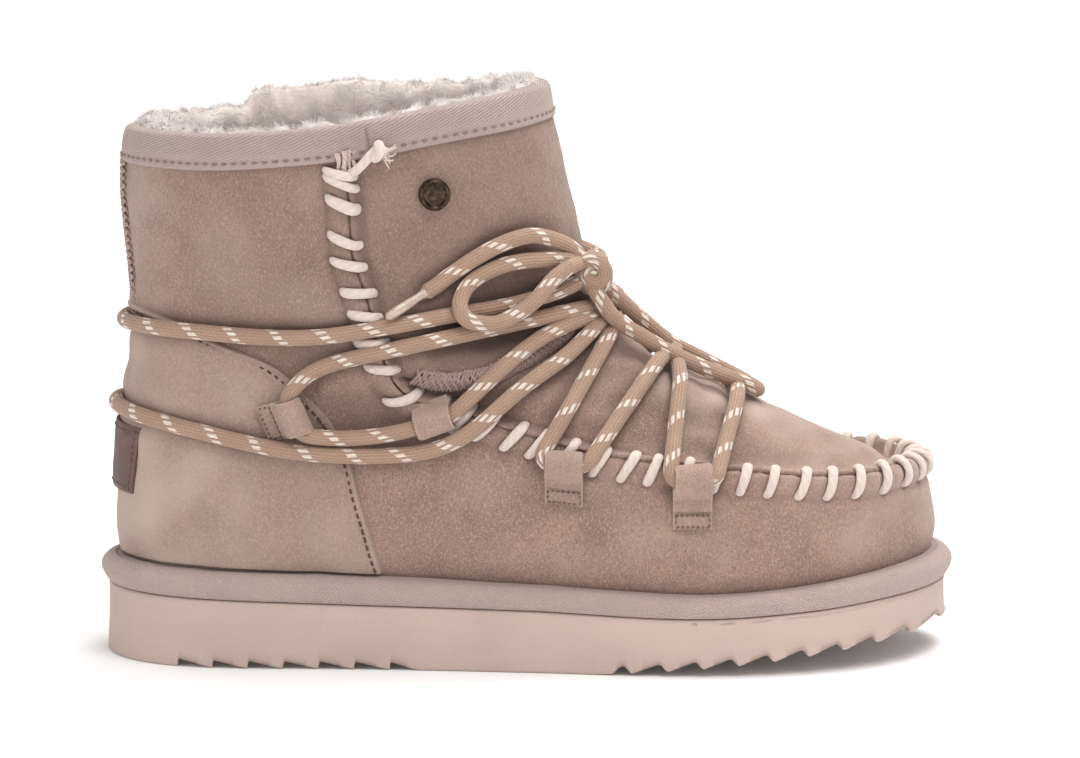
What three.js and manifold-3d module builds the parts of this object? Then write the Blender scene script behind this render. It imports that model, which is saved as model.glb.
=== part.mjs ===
// Fleece-lined moccasin ankle boot, right foot, EU 38. Millimetres, +Z up, +X towards the toe, -Y is the outer (lateral) side.
// The origin is on the floor under the middle of the sole. The upper is a family of tilted layers, each a closed ring round the foot.
import * as THREE from "three";
import { mergeVertices } from "three/addons/utils/BufferGeometryUtils.js";
import Module from "manifold-3d";

const wasm = await Module();
wasm.setup();

// ---- driving sizes ----
const SOLE_LENGTH = 270; // outsole, heel to toe
const SOLE_HEEL_HALF = 37.2, SOLE_WAIST_HALF = 38.2, SOLE_BALL_HALF = 49.4; // half widths at a quarter, a half and three quarters of the length
const SOLE_HEEL_RADIUS = 34, SOLE_TOE_RADIUS = 41;
const SIDE_FLARE = 0.7; // the sole's side leans out by this much towards the floor
const TOE_SPRING = 10.5, SPRING_START = 20, SPRING_POWER = 1.2;
const TREAD_DEPTH = 2.3, TREAD_PITCH = 11.2;
const WALL = 7.5; // sheepskin: 1.5 of suede and the deep pile behind it
const GAP = 0.3; // between pieces that touch
const COUNTER = 1.3, COUNTER_GAP = 0.55; // heel counter leather
const TAPE_WIDTH = 9.5, TAPE = 1.0, TAPE_LIP = 4.2; // twill tape round the collar
const WELT_REACH = 13.6; // the welt's inner edge, in from the sole's edge
const UPPER_INSET = 5.8; // the upper stands this far in from the sole's edge
const INSOLE_THICK = 4.5, INSOLE_CLEAR = 0.9;
const LACE_R = 2.5, LACE_LIFT = LACE_R + 1.3;
const KEEPER_WIDTH = 12, KEEPER_LEATHER = 1.1, KEEPER_HOLE = LACE_R + 0.75;
const LABEL = 1.4;
const STUD_R = 4.9, STUD_H = 2.0;
const AGLET_R = 1.9, AGLET_LENGTH = 17;
const MIDDLE = { x: 0.9, y: 1.8 }; // moves the foot's own axes so that the origin is under the middle of the whole boot

// ---- the upper's layers, from the welt to the collar ----
// xb, xf: rearmost and foremost point. z0..z100: height at the back, a quarter, a half and three quarters along, and the front.
// heel, waist, ball: half widths at those quarters. rb, rf: plan radius at the back and the front. bend: how far the layer follows the foot's curve.
const LAYERS = [
  { name: "feather", xb: -128.8, xf: 129.8, z0: 31.8, z25: 30.0, z50: 27.6, z75: 25.9, z100: 32.6, heel: 31.2, waist: 32.6, ball: 43.8, rb: 28, rf: 35, bend: 1.0 },
  { name: "low",     xb: -130.0, xf: 131.2, z0: 42.0, z25: 39.5, z50: 36.5, z75: 34.0, z100: 39.0, heel: 34.2, waist: 36.0, ball: 46.2, rb: 29, rf: 36, bend: 0.98 },
  { name: "mid",     xb: -129.8, xf: 130.2, z0: 58.0, z25: 54.0, z50: 49.0, z75: 45.0, z100: 47.0, heel: 36.2, waist: 38.0, ball: 46.0, rb: 29, rf: 35, bend: 0.92 },
  { name: "high",    xb: -128.6, xf: 128.6, z0: 76.0, z25: 71.5, z50: 63.0, z75: 55.0, z100: 54.0, heel: 36.9, waist: 38.7, ball: 43.4, rb: 28, rf: 33, bend: 0.80 },
  { name: "ridge",   xb: -126.8, xf: 126.6, z0: 92.0, z25: 87.0, z50: 75.5, z75: 63.4, z100: 60.2, heel: 37.2, waist: 38.6, ball: 39.6, rb: 27, rf: 30, bend: 0.70 },
  { name: "plug1",   xb: -126.2, xf: 117.5, z0: 101.0, z25: 97.0, z50: 85.0, z75: 68.5, z100: 60.6, heel: 37.6, waist: 38.4, ball: 33.0, rb: 26, rf: 24, bend: 0.55 },
  { name: "plug2",   xb: -126.2, xf: 102.0, z0: 109.0, z25: 105.5, z50: 94.0, z75: 77.5, z100: 67.4, heel: 38.2, waist: 38.4, ball: 28.5, rb: 25, rf: 20, bend: 0.42 },
  { name: "plug3",   xb: -126.6, xf: 83.0, z0: 117.0, z25: 114.0, z50: 102.5, z75: 87.5, z100: 75.2, heel: 38.8, waist: 38.6, ball: 27.0, rb: 25, rf: 18, bend: 0.30 },
  { name: "plug4",   xb: -127.2, xf: 61.0, z0: 125.0, z25: 122.0, z50: 111.0, z75: 97.5, z100: 84.6, heel: 39.4, waist: 39.0, ball: 27.0, rb: 25, rf: 17, bend: 0.20 },
  { name: "instep",  xb: -128.0, xf: 40.0, z0: 133.0, z25: 130.0, z50: 120.0, z75: 108.5, z100: 94.0, heel: 40.0, waist: 39.8, ball: 28.5, rb: 25.5, rf: 18, bend: 0.12 },
  { name: "throat",  xb: -128.7, xf: 25.0, z0: 140.5, z25: 138.0, z50: 130.0, z75: 120.5, z100: 106.5, heel: 40.8, waist: 41.0, ball: 31.5, rb: 26, rf: 21, bend: 0.06 },
  { name: "shaft1",  xb: -129.1, xf: 18.4, z0: 147.0, z25: 145.0, z50: 140.0, z75: 133.5, z100: 122.0, heel: 41.4, waist: 42.6, ball: 34.5, rb: 26.5, rf: 24, bend: 0.03 },
  { name: "shaft2",  xb: -129.1, xf: 15.0, z0: 153.0, z25: 151.8, z50: 149.5, z75: 147.5, z100: 140.0, heel: 41.8, waist: 44.0, ball: 37.0, rb: 27, rf: 27, bend: 0.01 },
  { name: "shaft3",  xb: -128.8, xf: 11.2, z0: 160.0, z25: 159.6, z50: 160.0, z75: 162.0, z100: 160.0, heel: 42.0, waist: 45.2, ball: 39.0, rb: 27.5, rf: 29, bend: 0.0 },
  { name: "collar",  xb: -127.6, xf: 6.9, z0: 166.9, z25: 167.1, z50: 169.8, z75: 175.9, z100: 180.8, heel: 42.0, waist: 45.8, ball: 40.2, rb: 28, rf: 30, bend: 0.0 },
];
const COLUMNS = ["xb", "xf", "z0", "z25", "z50", "z75", "z100", "heel", "waist", "ball", "rb", "rf", "bend"];
const FOOT_CURVE = [0, -1.0, -5.5, -1.0, 6.5]; // the foot's centre line in plan, heel to toe
const RIDGE = 4; // index of the layer that the moccasin seam follows round the toe
const COLLAR = LAYERS.length - 1;

// the sole's top face from heel to toe
const SOLE_TOP = [
  { x: -136, z: 22.8 }, { x: -100, z: 21.8 }, { x: -50, z: 20.4 }, { x: 0, z: 19.6 },
  { x: 50, z: 18.3 }, { x: 90, z: 20.0 }, { x: 115, z: 22.0 }, { x: 136, z: 23.4 },
];

// ---- small maths ----
const rad = (d) => (d * Math.PI) / 180;
const clamp = (v, a, b) => Math.min(b, Math.max(a, v));
function catmull(values, u) {
  const n = values.length;
  u = clamp(u, 0, n - 1);
  const i = Math.min(Math.floor(u), n - 2), f = u - i;
  const at = (k) => (k < 0 ? 2 * values[0] - values[1] : k > n - 1 ? 2 * values[n - 1] - values[n - 2] : values[k]);
  const [a, b, c, d] = [at(i - 1), at(i), at(i + 1), at(i + 2)];
  return 0.5 * (2 * b + (c - a) * f + (2 * a - 5 * b + 4 * c - d) * f * f + (3 * b - a - 3 * c + d) * f ** 3);
}
function lookup(table, x) {
  let i = 0;
  while (i < table.length - 2 && x > table[i + 1].x) i++;
  const p = table[i], q = table[i + 1];
  const slope = (k) => {
    const a = table[Math.max(0, k - 1)], b = table[Math.min(table.length - 1, k + 1)];
    return (b.z - a.z) / (b.x - a.x);
  };
  const h = q.x - p.x, s = clamp((x - p.x) / h, 0, 1);
  return (2 * s ** 3 - 3 * s * s + 1) * p.z + (s ** 3 - 2 * s * s + s) * h * slope(i) + (3 * s * s - 2 * s ** 3) * q.z + (s ** 3 - s * s) * h * slope(i + 1);
}

// One point of a plan ring: phi 0 is the back, 90 degrees the outer side, 180 the toe.
function planPoint(phi, r) {
  const xi = (1 - Math.cos(phi)) / 2, u = xi * 4, length = r.xf - r.xb;
  const full = catmull([Math.sqrt((r.rb * length) / 2), r.heel / 0.8660254, r.waist, r.ball / 0.8660254, Math.sqrt((r.rf * length) / 2)], u);
  return { xi, x: r.xb + length * xi, y: catmull(FOOT_CURVE, u) * r.bend - full * Math.sin(phi) };
}
function layerAt(table, t) {
  const r = {};
  for (const c of COLUMNS) r[c] = catmull(table.map((row) => row[c]), t);
  return r;
}
// A point of the upper's outer face: phi round the foot, t along the layers.
function surface(phi, t, table = LAYERS) {
  const r = layerAt(table, t), p = planPoint(phi, r);
  return new THREE.Vector3(p.x, p.y, catmull([r.z0, r.z25, r.z50, r.z75, r.z100], p.xi * 4));
}
function normal(phi, t, table = LAYERS, dPhi = rad(2), dT = 0.15) {
  const t0 = clamp(t - dT, 0, COLLAR), t1 = clamp(t + dT, 0, COLLAR);
  const a = surface(phi + dPhi, t, table).sub(surface(phi - dPhi, t, table));
  const b = surface(phi, t1, table).sub(surface(phi, t0, table));
  return a.cross(b).normalize();
}
const lifted = (phi, t, lift) => surface(phi, t).addScaledVector(normal(phi, t), lift);

// The lining runs under the seam ridge without its crease.
const LINING = LAYERS.map((row, i) => {
  if (i !== RIDGE) return row;
  const soft = { ...row };
  for (const c of COLUMNS) soft[c] = 0.5 * row[c] + 0.25 * (LAYERS[i - 1][c] + LAYERS[i + 1][c]);
  return soft;
});

// The sole's plan ring, moved in by an inset.
const SOLE_RING = { xb: -SOLE_LENGTH / 2, xf: SOLE_LENGTH / 2, heel: SOLE_HEEL_HALF, waist: SOLE_WAIST_HALF, ball: SOLE_BALL_HALF, rb: SOLE_HEEL_RADIUS, rf: SOLE_TOE_RADIUS, bend: 1 };
function outline(phi, inset) {
  const at = (a) => planPoint(a, SOLE_RING);
  const p = at(phi), a = at(phi - 0.01), b = at(phi + 0.01);
  const dx = b.x - a.x, dy = b.y - a.y, l = Math.hypot(dx, dy);
  return { x: p.x - (dy / l) * inset, y: p.y + (dx / l) * inset };
}
const soleTop = (x) => lookup(SOLE_TOP, x);
function weltTop(x) {
  const f = LAYERS[0], u = clamp((x - f.xb) / (f.xf - f.xb), 0, 1) * 4;
  return catmull([f.z0, f.z25, f.z50, f.z75, f.z100], u) - GAP;
}

// ---- solids ----
function geometryOf(points, faces) {
  const volume = faces.reduce((s, [a, b, c]) => s + points[a].dot(points[b].clone().cross(points[c])), 0);
  if (volume < 0) faces = faces.map(([a, b, c]) => [a, c, b]); // faces point out
  const g = new THREE.BufferGeometry();
  g.setAttribute("position", new THREE.BufferAttribute(new Float32Array(points.flatMap((p) => [p.x, p.y, p.z])), 3));
  g.setIndex(faces.flat());
  return g;
}
// A closed band through rings of equal length; the last ring joins the first, or both ends are capped by a fan round their middle.
function loft(rings, capped = false) {
  const n = rings[0].length, m = rings.length, points = rings.flat().map((p) => p.clone()), faces = [];
  for (let j = 0; j < (capped ? m - 1 : m); j++)
    for (let i = 0; i < n; i++) {
      const a = j * n + i, b = j * n + ((i + 1) % n), c = ((j + 1) % m) * n + i, d = ((j + 1) % m) * n + ((i + 1) % n);
      faces.push([a, c, b], [b, c, d]);
    }
  if (capped)
    for (const [ring, flip] of [[0, false], [m - 1, true]]) {
      const mid = rings[ring].reduce((s, p) => s.add(p), new THREE.Vector3()).divideScalar(n);
      points.push(mid);
      for (let i = 0; i < n; i++) {
        const a = ring * n + i, b = ring * n + ((i + 1) % n), c = points.length - 1;
        faces.push(flip ? [a, c, b] : [a, b, c]);
      }
    }
  return geometryOf(points, faces);
}
// A curved sheet with thickness: outer and inner grids of the same size, closed round the edge.
function sheet(outer, inner) {
  const rows = outer.length, cols = outer[0].length, points = [...outer.flat(), ...inner.flat()], k = rows * cols, faces = [];
  const id = (j, i) => j * cols + i;
  for (let j = 0; j < rows - 1; j++)
    for (let i = 0; i < cols - 1; i++) {
      const [a, b, c, d] = [id(j, i), id(j, i + 1), id(j + 1, i), id(j + 1, i + 1)];
      faces.push([a, c, b], [b, c, d], [k + a, k + b, k + c], [k + b, k + d, k + c]);
    }
  const edge = [];
  for (let i = 0; i < cols - 1; i++) edge.push([id(0, i), id(0, i + 1)]);
  for (let j = 0; j < rows - 1; j++) edge.push([id(j, cols - 1), id(j + 1, cols - 1)]);
  for (let i = cols - 1; i > 0; i--) edge.push([id(rows - 1, i), id(rows - 1, i - 1)]);
  for (let j = rows - 1; j > 0; j--) edge.push([id(j, 0), id(j - 1, 0)]);
  for (const [a, b] of edge) faces.push([a, b, k + b], [a, k + b, k + a]);
  return geometryOf(points, faces);
}
function solid(geometry, tolerance = 1e-4) {
  const bare = geometry.index ? geometry.toNonIndexed() : geometry.clone();
  for (const k of Object.keys(bare.attributes)) if (k !== "position") bare.deleteAttribute(k);
  const g = mergeVertices(bare, tolerance);
  const triVerts = new Uint32Array(g.index.array);
  const made = new wasm.Manifold(new wasm.Mesh({ numProp: 3, vertProperties: new Float32Array(g.attributes.position.array), triVerts }));
  if (made.volume() >= 0) return made;
  for (let i = 0; i < triVerts.length; i += 3) [triVerts[i + 1], triVerts[i + 2]] = [triVerts[i + 2], triVerts[i + 1]];
  return new wasm.Manifold(new wasm.Mesh({ numProp: 3, vertProperties: new Float32Array(g.attributes.position.array), triVerts }));
}
function fromSolid(m) {
  const mesh = m.getMesh(), n = mesh.numProp, v = new Float32Array(mesh.numVert * 3);
  for (let i = 0; i < mesh.numVert; i++) v.set(mesh.vertProperties.subarray(i * n, i * n + 3), i * 3);
  const g = new THREE.BufferGeometry();
  g.setAttribute("position", new THREE.BufferAttribute(v, 3));
  g.setIndex(new THREE.BufferAttribute(new Uint32Array(mesh.triVerts), 1));
  return g;
}

const boot = new THREE.Group(), foot = new THREE.Group();
foot.position.set(MIDDLE.x, MIDDLE.y, 0);
boot.add(foot);
const finish = (color, roughness, metalness = 0) => new THREE.MeshStandardMaterial({ color, roughness, metalness });
const SUEDE = finish(0xa98f82, 0.95), TAPE_MAT = finish(0xb7a49c, 0.9), FOAM = finish(0xd3beb0, 0.6), FLEECE = finish(0xe4dad2, 1.0);
const LACE_MAT = finish(0xb08f76, 0.8), LEATHER = finish(0x5f4640, 0.6), BRONZE = finish(0x4a3c2c, 0.35, 0.9), CLEAR = finish(0xcdbfb4, 0.3);
function add(name, geometry, material) {
  geometry.computeVertexNormals();
  const mesh = new THREE.Mesh(geometry, material);
  mesh.name = name;
  foot.add(mesh);
  return mesh;
}
const range = (n) => [...Array(n).keys()];
const circle = (n) => range(n).map((i) => (2 * Math.PI * i) / n);

// ---- upper: one hollow sheepskin wall, open at the collar and underneath ----
{
  const round = circle(48);
  const outerT = [0, 0.5, 1.2, 2, 2.8, 3.4, 3.8, 4, 4.2, 4.7, 5.4, 6.2, 7.1, 8, 8.9, 9.7, 10.5, 11.5, 12.6, 14];
  const innerT = [14, 12.4, 10.8, 9.4, 8, 6.6, 5.4, 4.2, 3.2, 2.1, 1, 0];
  const outer = outerT.map((t) => round.map((a) => surface(a, t)));
  const inner = innerT.map((t) => round.map((a) => surface(a, t, LINING).addScaledVector(normal(a, t, LINING, rad(6), 0.7), -WALL)));
  // both rims stay level with the outer edge
  inner[0].forEach((p, i) => (p.z = outer[outerT.length - 1][i].z));
  inner[innerT.length - 1].forEach((p, i) => (p.z = outer[0][i].z));
  add("upper", loft([...outer, ...inner]), SUEDE);
}

// ---- sole: plan form crossed with the side form, tread cut right across ----
{
  const round = circle(72), low = -1, high = 30;
  const plan = solid(loft([
    round.map((a) => { const p = outline(a, 0); return new THREE.Vector3(p.x, p.y, low); }),
    round.map((a) => { const p = outline(a, SIDE_FLARE * (high - low) / 22); return new THREE.Vector3(p.x, p.y, high); }),
  ], true));
  const spring = (x) => (x > SPRING_START ? TOE_SPRING * ((x - SPRING_START) / (SOLE_LENGTH / 2 - SPRING_START)) ** SPRING_POWER : 0);
  const side = new THREE.Shape();
  const heelNotch = -110.5, foreNotch = 30; // first notch of each tread field
  side.moveTo(-140, 0);
  side.lineTo(heelNotch, 0);
  for (let k = 0; k < 6; k++) {
    const x = heelNotch + k * TREAD_PITCH;
    side.lineTo(x + 0.5, TREAD_DEPTH);
    side.lineTo(x + TREAD_PITCH, 0);
  }
  side.lineTo(heelNotch + 6 * TREAD_PITCH + 0.5, TREAD_DEPTH);
  side.lineTo(heelNotch + 6 * TREAD_PITCH + 8.5, 0);
  side.lineTo(SPRING_START, 0);
  for (let k = 0; k < 10; k++) {
    const x = foreNotch + k * TREAD_PITCH;
    side.lineTo(x - 0.01, spring(x) + TREAD_DEPTH);
    side.lineTo(x + 2.6, spring(x + 2.6));
  }
  side.lineTo(140, spring(134.5) + 1.2);
  for (const i of range(24)) side.lineTo(140 - (280 * i) / 23, soleTop(140 - (280 * i) / 23));
  side.closePath();
  const slab = new THREE.ExtrudeGeometry(side, { depth: 130, bevelEnabled: false, steps: 1 });
  slab.rotateX(Math.PI / 2).translate(0, 65, 0);
  add("sole", fromSolid(plan.intersect(solid(slab))), FOAM);
}

// ---- welt: the taped band between sole and upper, with a rolled outer face ----
{
  const round = circle(64);
  const section = [ // inset from the sole's edge, and height as a share of the band
    { inset: 1.4, rise: 0.0 }, { inset: 0.1, rise: 0.2 }, { inset: -0.3, rise: 0.52 }, { inset: 0.6, rise: 0.82 },
    { inset: 2.8, rise: 0.97 }, { inset: 5.4, rise: 1.0 }, { inset: WELT_REACH, rise: 1.0 }, { inset: WELT_REACH, rise: 0.0 },
  ];
  add("welt", loft(section.map((s) => round.map((a) => {
    const p = outline(a, s.inset), low = soleTop(p.x) + GAP, high = weltTop(p.x);
    return new THREE.Vector3(p.x, p.y, low + (high - low) * s.rise);
  }))), TAPE_MAT);
}

// ---- insole: fleece footbed inside the welt and the upper's wall ----
{
  const round = circle(48), inset = UPPER_INSET + WALL + INSOLE_CLEAR;
  const ring = (extra, level) => round.map((a) => { const p = outline(a, inset + extra); return new THREE.Vector3(p.x, p.y, level(p.x)); });
  add("insole", loft([
    ring(0.3, (x) => soleTop(x) + GAP), ring(0.3, (x) => weltTop(x) + INSOLE_THICK - 1.4), ring(1.6, (x) => weltTop(x) + INSOLE_THICK),
    ring(12, (x) => weltTop(x) + INSOLE_THICK - 0.6),
  ], true), FLEECE);
}

// ---- collar binding: tape folded over the top edge ----
{
  const round = circle(52);
  const perMm = (phi) => 0.2 / surface(phi, COLLAR).distanceTo(surface(phi, COLLAR - 0.2)); // layers per millimetre of height
  const at = (phi, down, lift) => lifted(phi, COLLAR - down * perMm(phi), lift);
  const top = (phi, inward, rise) => {
    const n = normal(phi, COLLAR), p = surface(phi, COLLAR);
    n.z = 0; n.normalize();
    return new THREE.Vector3(p.x - n.x * inward, p.y - n.y * inward, p.z + rise);
  };
  add("collar_binding", loft([
    round.map((a) => at(a, TAPE_WIDTH, GAP)), round.map((a) => at(a, TAPE_WIDTH, GAP + TAPE)), round.map((a) => at(a, 4, GAP + TAPE + 0.2)),
    round.map((a) => top(a, -(GAP + TAPE), 0.6)), round.map((a) => top(a, 0.8, GAP + TAPE + 0.3)), round.map((a) => top(a, TAPE_LIP, GAP + TAPE)),
    round.map((a) => top(a, TAPE_LIP, GAP)), round.map((a) => top(a, -GAP, GAP)),
  ]), TAPE_MAT);
}

// ---- heel counter: an outer panel over the back of the upper ----
// Its edge from the welt at the outer side, up the front edge, and along the slanting top edge to the back seam.
const COUNTER_FRONT = [ // the front edge, welt to top corner: layer and angle from the back
  { t: 0.12, phi: 69.3 }, { t: 1.33, phi: 67.7 }, { t: 2.22, phi: 65.9 }, { t: 2.77, phi: 64.6 }, { t: 3.41, phi: 61.4 }, { t: 3.95, phi: 57.1 },
];
const COUNTER_TOP = [ // the top edge from the back seam to that corner
  { phi: 0, t: 6.5 }, { phi: 15, t: 6.35 }, { phi: 30.5, t: 6.01 }, { phi: 41.1, t: 5.4 }, { phi: 50.3, t: 4.87 }, { phi: 57.1, t: 3.95 },
];
const along = (table, key, u) => catmull(table.map((r) => r[key]), u * (table.length - 1));
// s runs from the back seam to the front edge, v from the welt to the top edge; the patch is spanned between its four edges
function counterPoint(s, v) {
  const mix = (key) => {
    const base = COUNTER_FRONT[0], corner = COUNTER_TOP[COUNTER_TOP.length - 1], seam = COUNTER_TOP[0];
    const backBottom = key === "phi" ? 0 : base.t, back = backBottom + (seam[key] - backBottom) * v, bottom = backBottom + (base[key] - backBottom) * s;
    return (1 - s) * back + s * along(COUNTER_FRONT, key, v) + (1 - v) * bottom + v * along(COUNTER_TOP, key, s)
      - ((1 - s) * (1 - v) * backBottom + s * (1 - v) * base[key] + (1 - s) * v * seam[key] + s * v * corner[key]);
  };
  return [mix("phi"), mix("t")];
}
{
  const cols = 33, rows = 9;
  const grid = (lift) => range(rows).map((j) => range(cols).map((i) => {
    const u = (i / (cols - 1)) * 2 - 1, [phi, t] = counterPoint(Math.abs(u), j / (rows - 1));
    return lifted(rad(u > 0 ? 360 - phi : phi), t, lift);
  }));
  add("heel_counter", sheet(grid(COUNTER_GAP + COUNTER), grid(COUNTER_GAP)), SUEDE);
}

// ---- heel label: a bare leather patch over the counter ----
{
  const cols = 9, rows = 4, base = COUNTER_GAP + GAP + COUNTER;
  const grid = (lift) => range(rows).map((j) => range(cols).map((i) => {
    const v = j / (rows - 1), u = (i / (cols - 1)) * 2 - 1;
    return lifted(rad(-u * (18.5 + 2.5 * v)), 1.72 + 1.2 * v, base + lift + 0.5 * v);
  }));
  add("heel_label", sheet(grid(LABEL), grid(0)), LEATHER);
}

// A frame on the upper: origin lifted off the face, local Z outwards, local X towards a second point.
function frameAt(phi, t, lift, toPhi, toT) {
  const n = normal(rad(phi), t), o = surface(rad(phi), t), x = surface(rad(toPhi), toT).sub(o);
  x.addScaledVector(n, -x.dot(n)).normalize();
  const y = n.clone().cross(x);
  return new THREE.Matrix4().makeBasis(x, y, n).setPosition(o.addScaledVector(n, lift));
}
const place = (mesh, m) => m.decompose(mesh.position, mesh.quaternion, mesh.scale);

// ---- stud: a plain metal cap on the outer side ----
{
  const r = STUD_R, h = STUD_H;
  const profile = [[0, 0], [r - 0.6, 0], [r, 0.5], [r, h - 0.6], [r - 0.6, h], [r - 1.2, h], [r - 1.6, h - 0.7], [0, h - 0.7]].map(([x, y]) => new THREE.Vector2(x, y));
  const g = new THREE.LatheGeometry(profile, 28);
  g.rotateX(Math.PI / 2);
  place(add("stud", fromSolid(solid(g)), BRONZE), frameAt(113.3, 12.14, 0.55, 120, 12.14));
}

// Walks some millimetres over the upper from a point, in the direction nearest to a given one.
function walk(phi, t, dir, mm) {
  const steps = Math.max(1, Math.ceil(Math.abs(mm) / 3)), d = mm / steps, e = 1e-3;
  for (let k = 0; k < steps; k++) {
    const p = surface(phi, t), a = surface(phi + e, t).sub(p).divideScalar(e), b = surface(phi, t + e).sub(p).divideScalar(e);
    const n = a.clone().cross(b).normalize(), v = dir.clone().addScaledVector(n, -dir.dot(n)).normalize();
    const aa = a.dot(a), ab = a.dot(b), bb = b.dot(b), va = v.dot(a), vb = v.dot(b), det = aa * bb - ab * ab;
    phi += (d * (va * bb - vb * ab)) / det;
    t += (d * (vb * aa - va * ab)) / det;
  }
  return [phi, t];
}

// ---- keepers: folded suede straps that hold the lace, each with a tail stitched to the upper ----
const KEEPERS = [ // centre, the lace's direction through it, the tail's direction and length, and the height of its seat over the upper
  { name: "1", phi: 55.5, t: 3.53, lace: [-0.4, 0, 0.9], tail: [-0.95, 0, -0.29], length: 6.5, seat: COUNTER_GAP + COUNTER + 0.35 },
  { name: "2", phi: 77.0, t: 3.92, lace: [0.94, 0, 0.34], tail: [-0.3, 0, 0.95], length: 2.4, seat: 0.45 },
  { name: "3", phi: 95.1, t: 3.4, lace: [1, 0, -0.1], tail: [0, 0, -1], length: 8.5, seat: 0.45 },
  { name: "4", phi: 113.5, t: 3.42, lace: [1, 0, 0], tail: [0, 0, -1], length: 10, seat: 0.45 },
];
const K_OUT = KEEPER_HOLE + KEEPER_LEATHER;
function keeperSection(length) { // x along the tail, y off the upper
  const out = K_OUT, s = new THREE.Shape(), hole = new THREE.Path(), k = 10, r = KEEPER_HOLE / Math.cos(Math.PI / k);
  s.moveTo(-out, 0);
  for (let i = 1; i < 7; i++) s.lineTo(-out * Math.cos((Math.PI * i) / 6), out * Math.sin((Math.PI * i) / 6));
  // the two layers close together into the tail
  s.lineTo(out + 0.2, -out + 2 * KEEPER_LEATHER + 1.2);
  s.lineTo(out + 1.4, -out + 2 * KEEPER_LEATHER);
  s.lineTo(out + length, -out + 2 * KEEPER_LEATHER);
  s.lineTo(out + length, -out);
  s.lineTo(out * 0.4, -out);
  s.lineTo(-out * 0.55, -out);
  s.lineTo(-out * 0.9, -out * 0.55);
  s.closePath();
  for (const i of range(k)) {
    const a = (2 * Math.PI * i) / k, p = [r * Math.cos(a), r * Math.sin(a)];
    i ? hole.lineTo(...p) : hole.moveTo(...p);
  }
  hole.closePath();
  s.holes.push(hole);
  return s;
}
const turned = ([x, y, z], side) => new THREE.Vector3(x, y * -side, z);
const onSide = (phi, side) => (side < 0 ? phi : 360 - phi);
// where the lace's centre line passes through keeper k, w millimetres from its middle
function through(k, side, w) {
  const r = KEEPERS[k - 1], [phi, t] = walk(rad(onSide(r.phi, side)), r.t, turned(r.lace, side), w);
  return [(phi * 180) / Math.PI, t, r.seat + K_OUT];
}

// ---- lace: one cord, its crossings joined ----
// Each stretch is a run of [angle, layer, height of the centre line over the upper], from keeper to keeper.
const L = LACE_LIFT, S = -1, F = 1; // S: the outer side, F: the inner side
const pass = (k, side, ...w) => w.map((d) => through(k, side, d));
const flip = (rows) => rows.map(([p, t, l]) => [360 - p, t, l]);
const UP_3_REAR = [[93.3, 4.3, L + 1], [99.2, 5.38, L], [113.1, 7.18, L], [142.4, 9.08, L]];
const UP_4_REAR = [[112.6, 4.7, L + 1], [121, 6.2, L], [135, 7.25, L], [154, 8.29, L]];
const UP_2 = [[82.5, 4.75, L + 0.6], [85.6, 5.24, L], [92.4, 6.24, L], [113.9, 8.22, L], [144.6, 9.68, L]];
const UP_3_FRONT = [[101.5, 4.3, L + 1], [112.9, 6.17, L], [142.4, 8.2, L], [168.2, 8.84, L + 1]];
const UP_4_FRONT = [[118.8, 4.2, L + 0.8], [124.3, 5.38, L], [152, 7.39, L]];
const RUN = [...pass(2, S, 6, 0, -6), [70.6, 3.4, L + 0.6], [64.9, 3.26, L], [61, 3.14, L + 2], ...pass(1, S, -6, 0, 6),
  [55.6, 4.5, L + 1.4], [58, 4.85, L], [61.1, 5.09, L], [71.4, 5.93, L], [88.9, 7.22, L], [127.1, 9.35, L], [158.1, 10.14, L + 1]];
const WRAP_UPPER = [ // from the inner throat round the back at the ankle, ending under the knot on the outer side
  [218, 10.0, L + 0.4], [245, 9.0, L], [258.9, 8.58, L], [284.7, 7.01, L], [296.6, 6.21, L], [310, 5.86, L], [317, 5.82, L + 0.7], [324, 5.82, L + 1.35], [340, 5.78, L + 1.4], [360, 5.7, L + 1.4],
  [380, 5.78, L + 1.4], [396, 5.82, L + 1.35], [403, 5.82, L + 0.7], [410, 5.86, L], [423.4, 6.21, L], [435.3, 7.01, L], [461.1, 8.58, L], [487.5, 9.8, L], [507, 10.5, L],
];
const WRAP_LOWER = [ // from the outer throat down, round the heel, and up to the knot from the inner side
  [164.5, 9.98, L + 1], [133, 8.83, L], [100.5, 6.5, L], [90, 5.2, L], [85.5, 4.45, L + 1], [82.5, 3.82, L + 2], [78.6, 3.34, L + 2], [72.6, 3.05, L], [66, 2.92, L + 0.4], [60.5, 2.86, L + 2],
  [57.5, 2.88, L + 2.2], [48.9, 2.91, L + 2.2], [39.3, 3.04, L + 1.7], [27.2, 3.14, L + 1.2], [14, 3.2, L + 1.2], [0, 3.22, L + 1.2], [-14, 3.2, L + 1.2], [-27.2, 3.14, L + 1.2], [-39.3, 3.04, L + 1.7], [-48.9, 2.91, L + 2.2],
  [-57.5, 2.88, L + 2.2], [-60.5, 2.86, L + 2], [-66, 2.92, L + 0.4], [-72.6, 3.05, L], [-78.6, 3.34, L + 2], [-82.5, 3.82, L + 2], [-85.5, 4.45, L + 1], [-90, 5.2, L], [-100.5, 6.5, L], [-133, 8.9, L], [-160, 10.4, L], [-176, 10.75, L],
];
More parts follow.
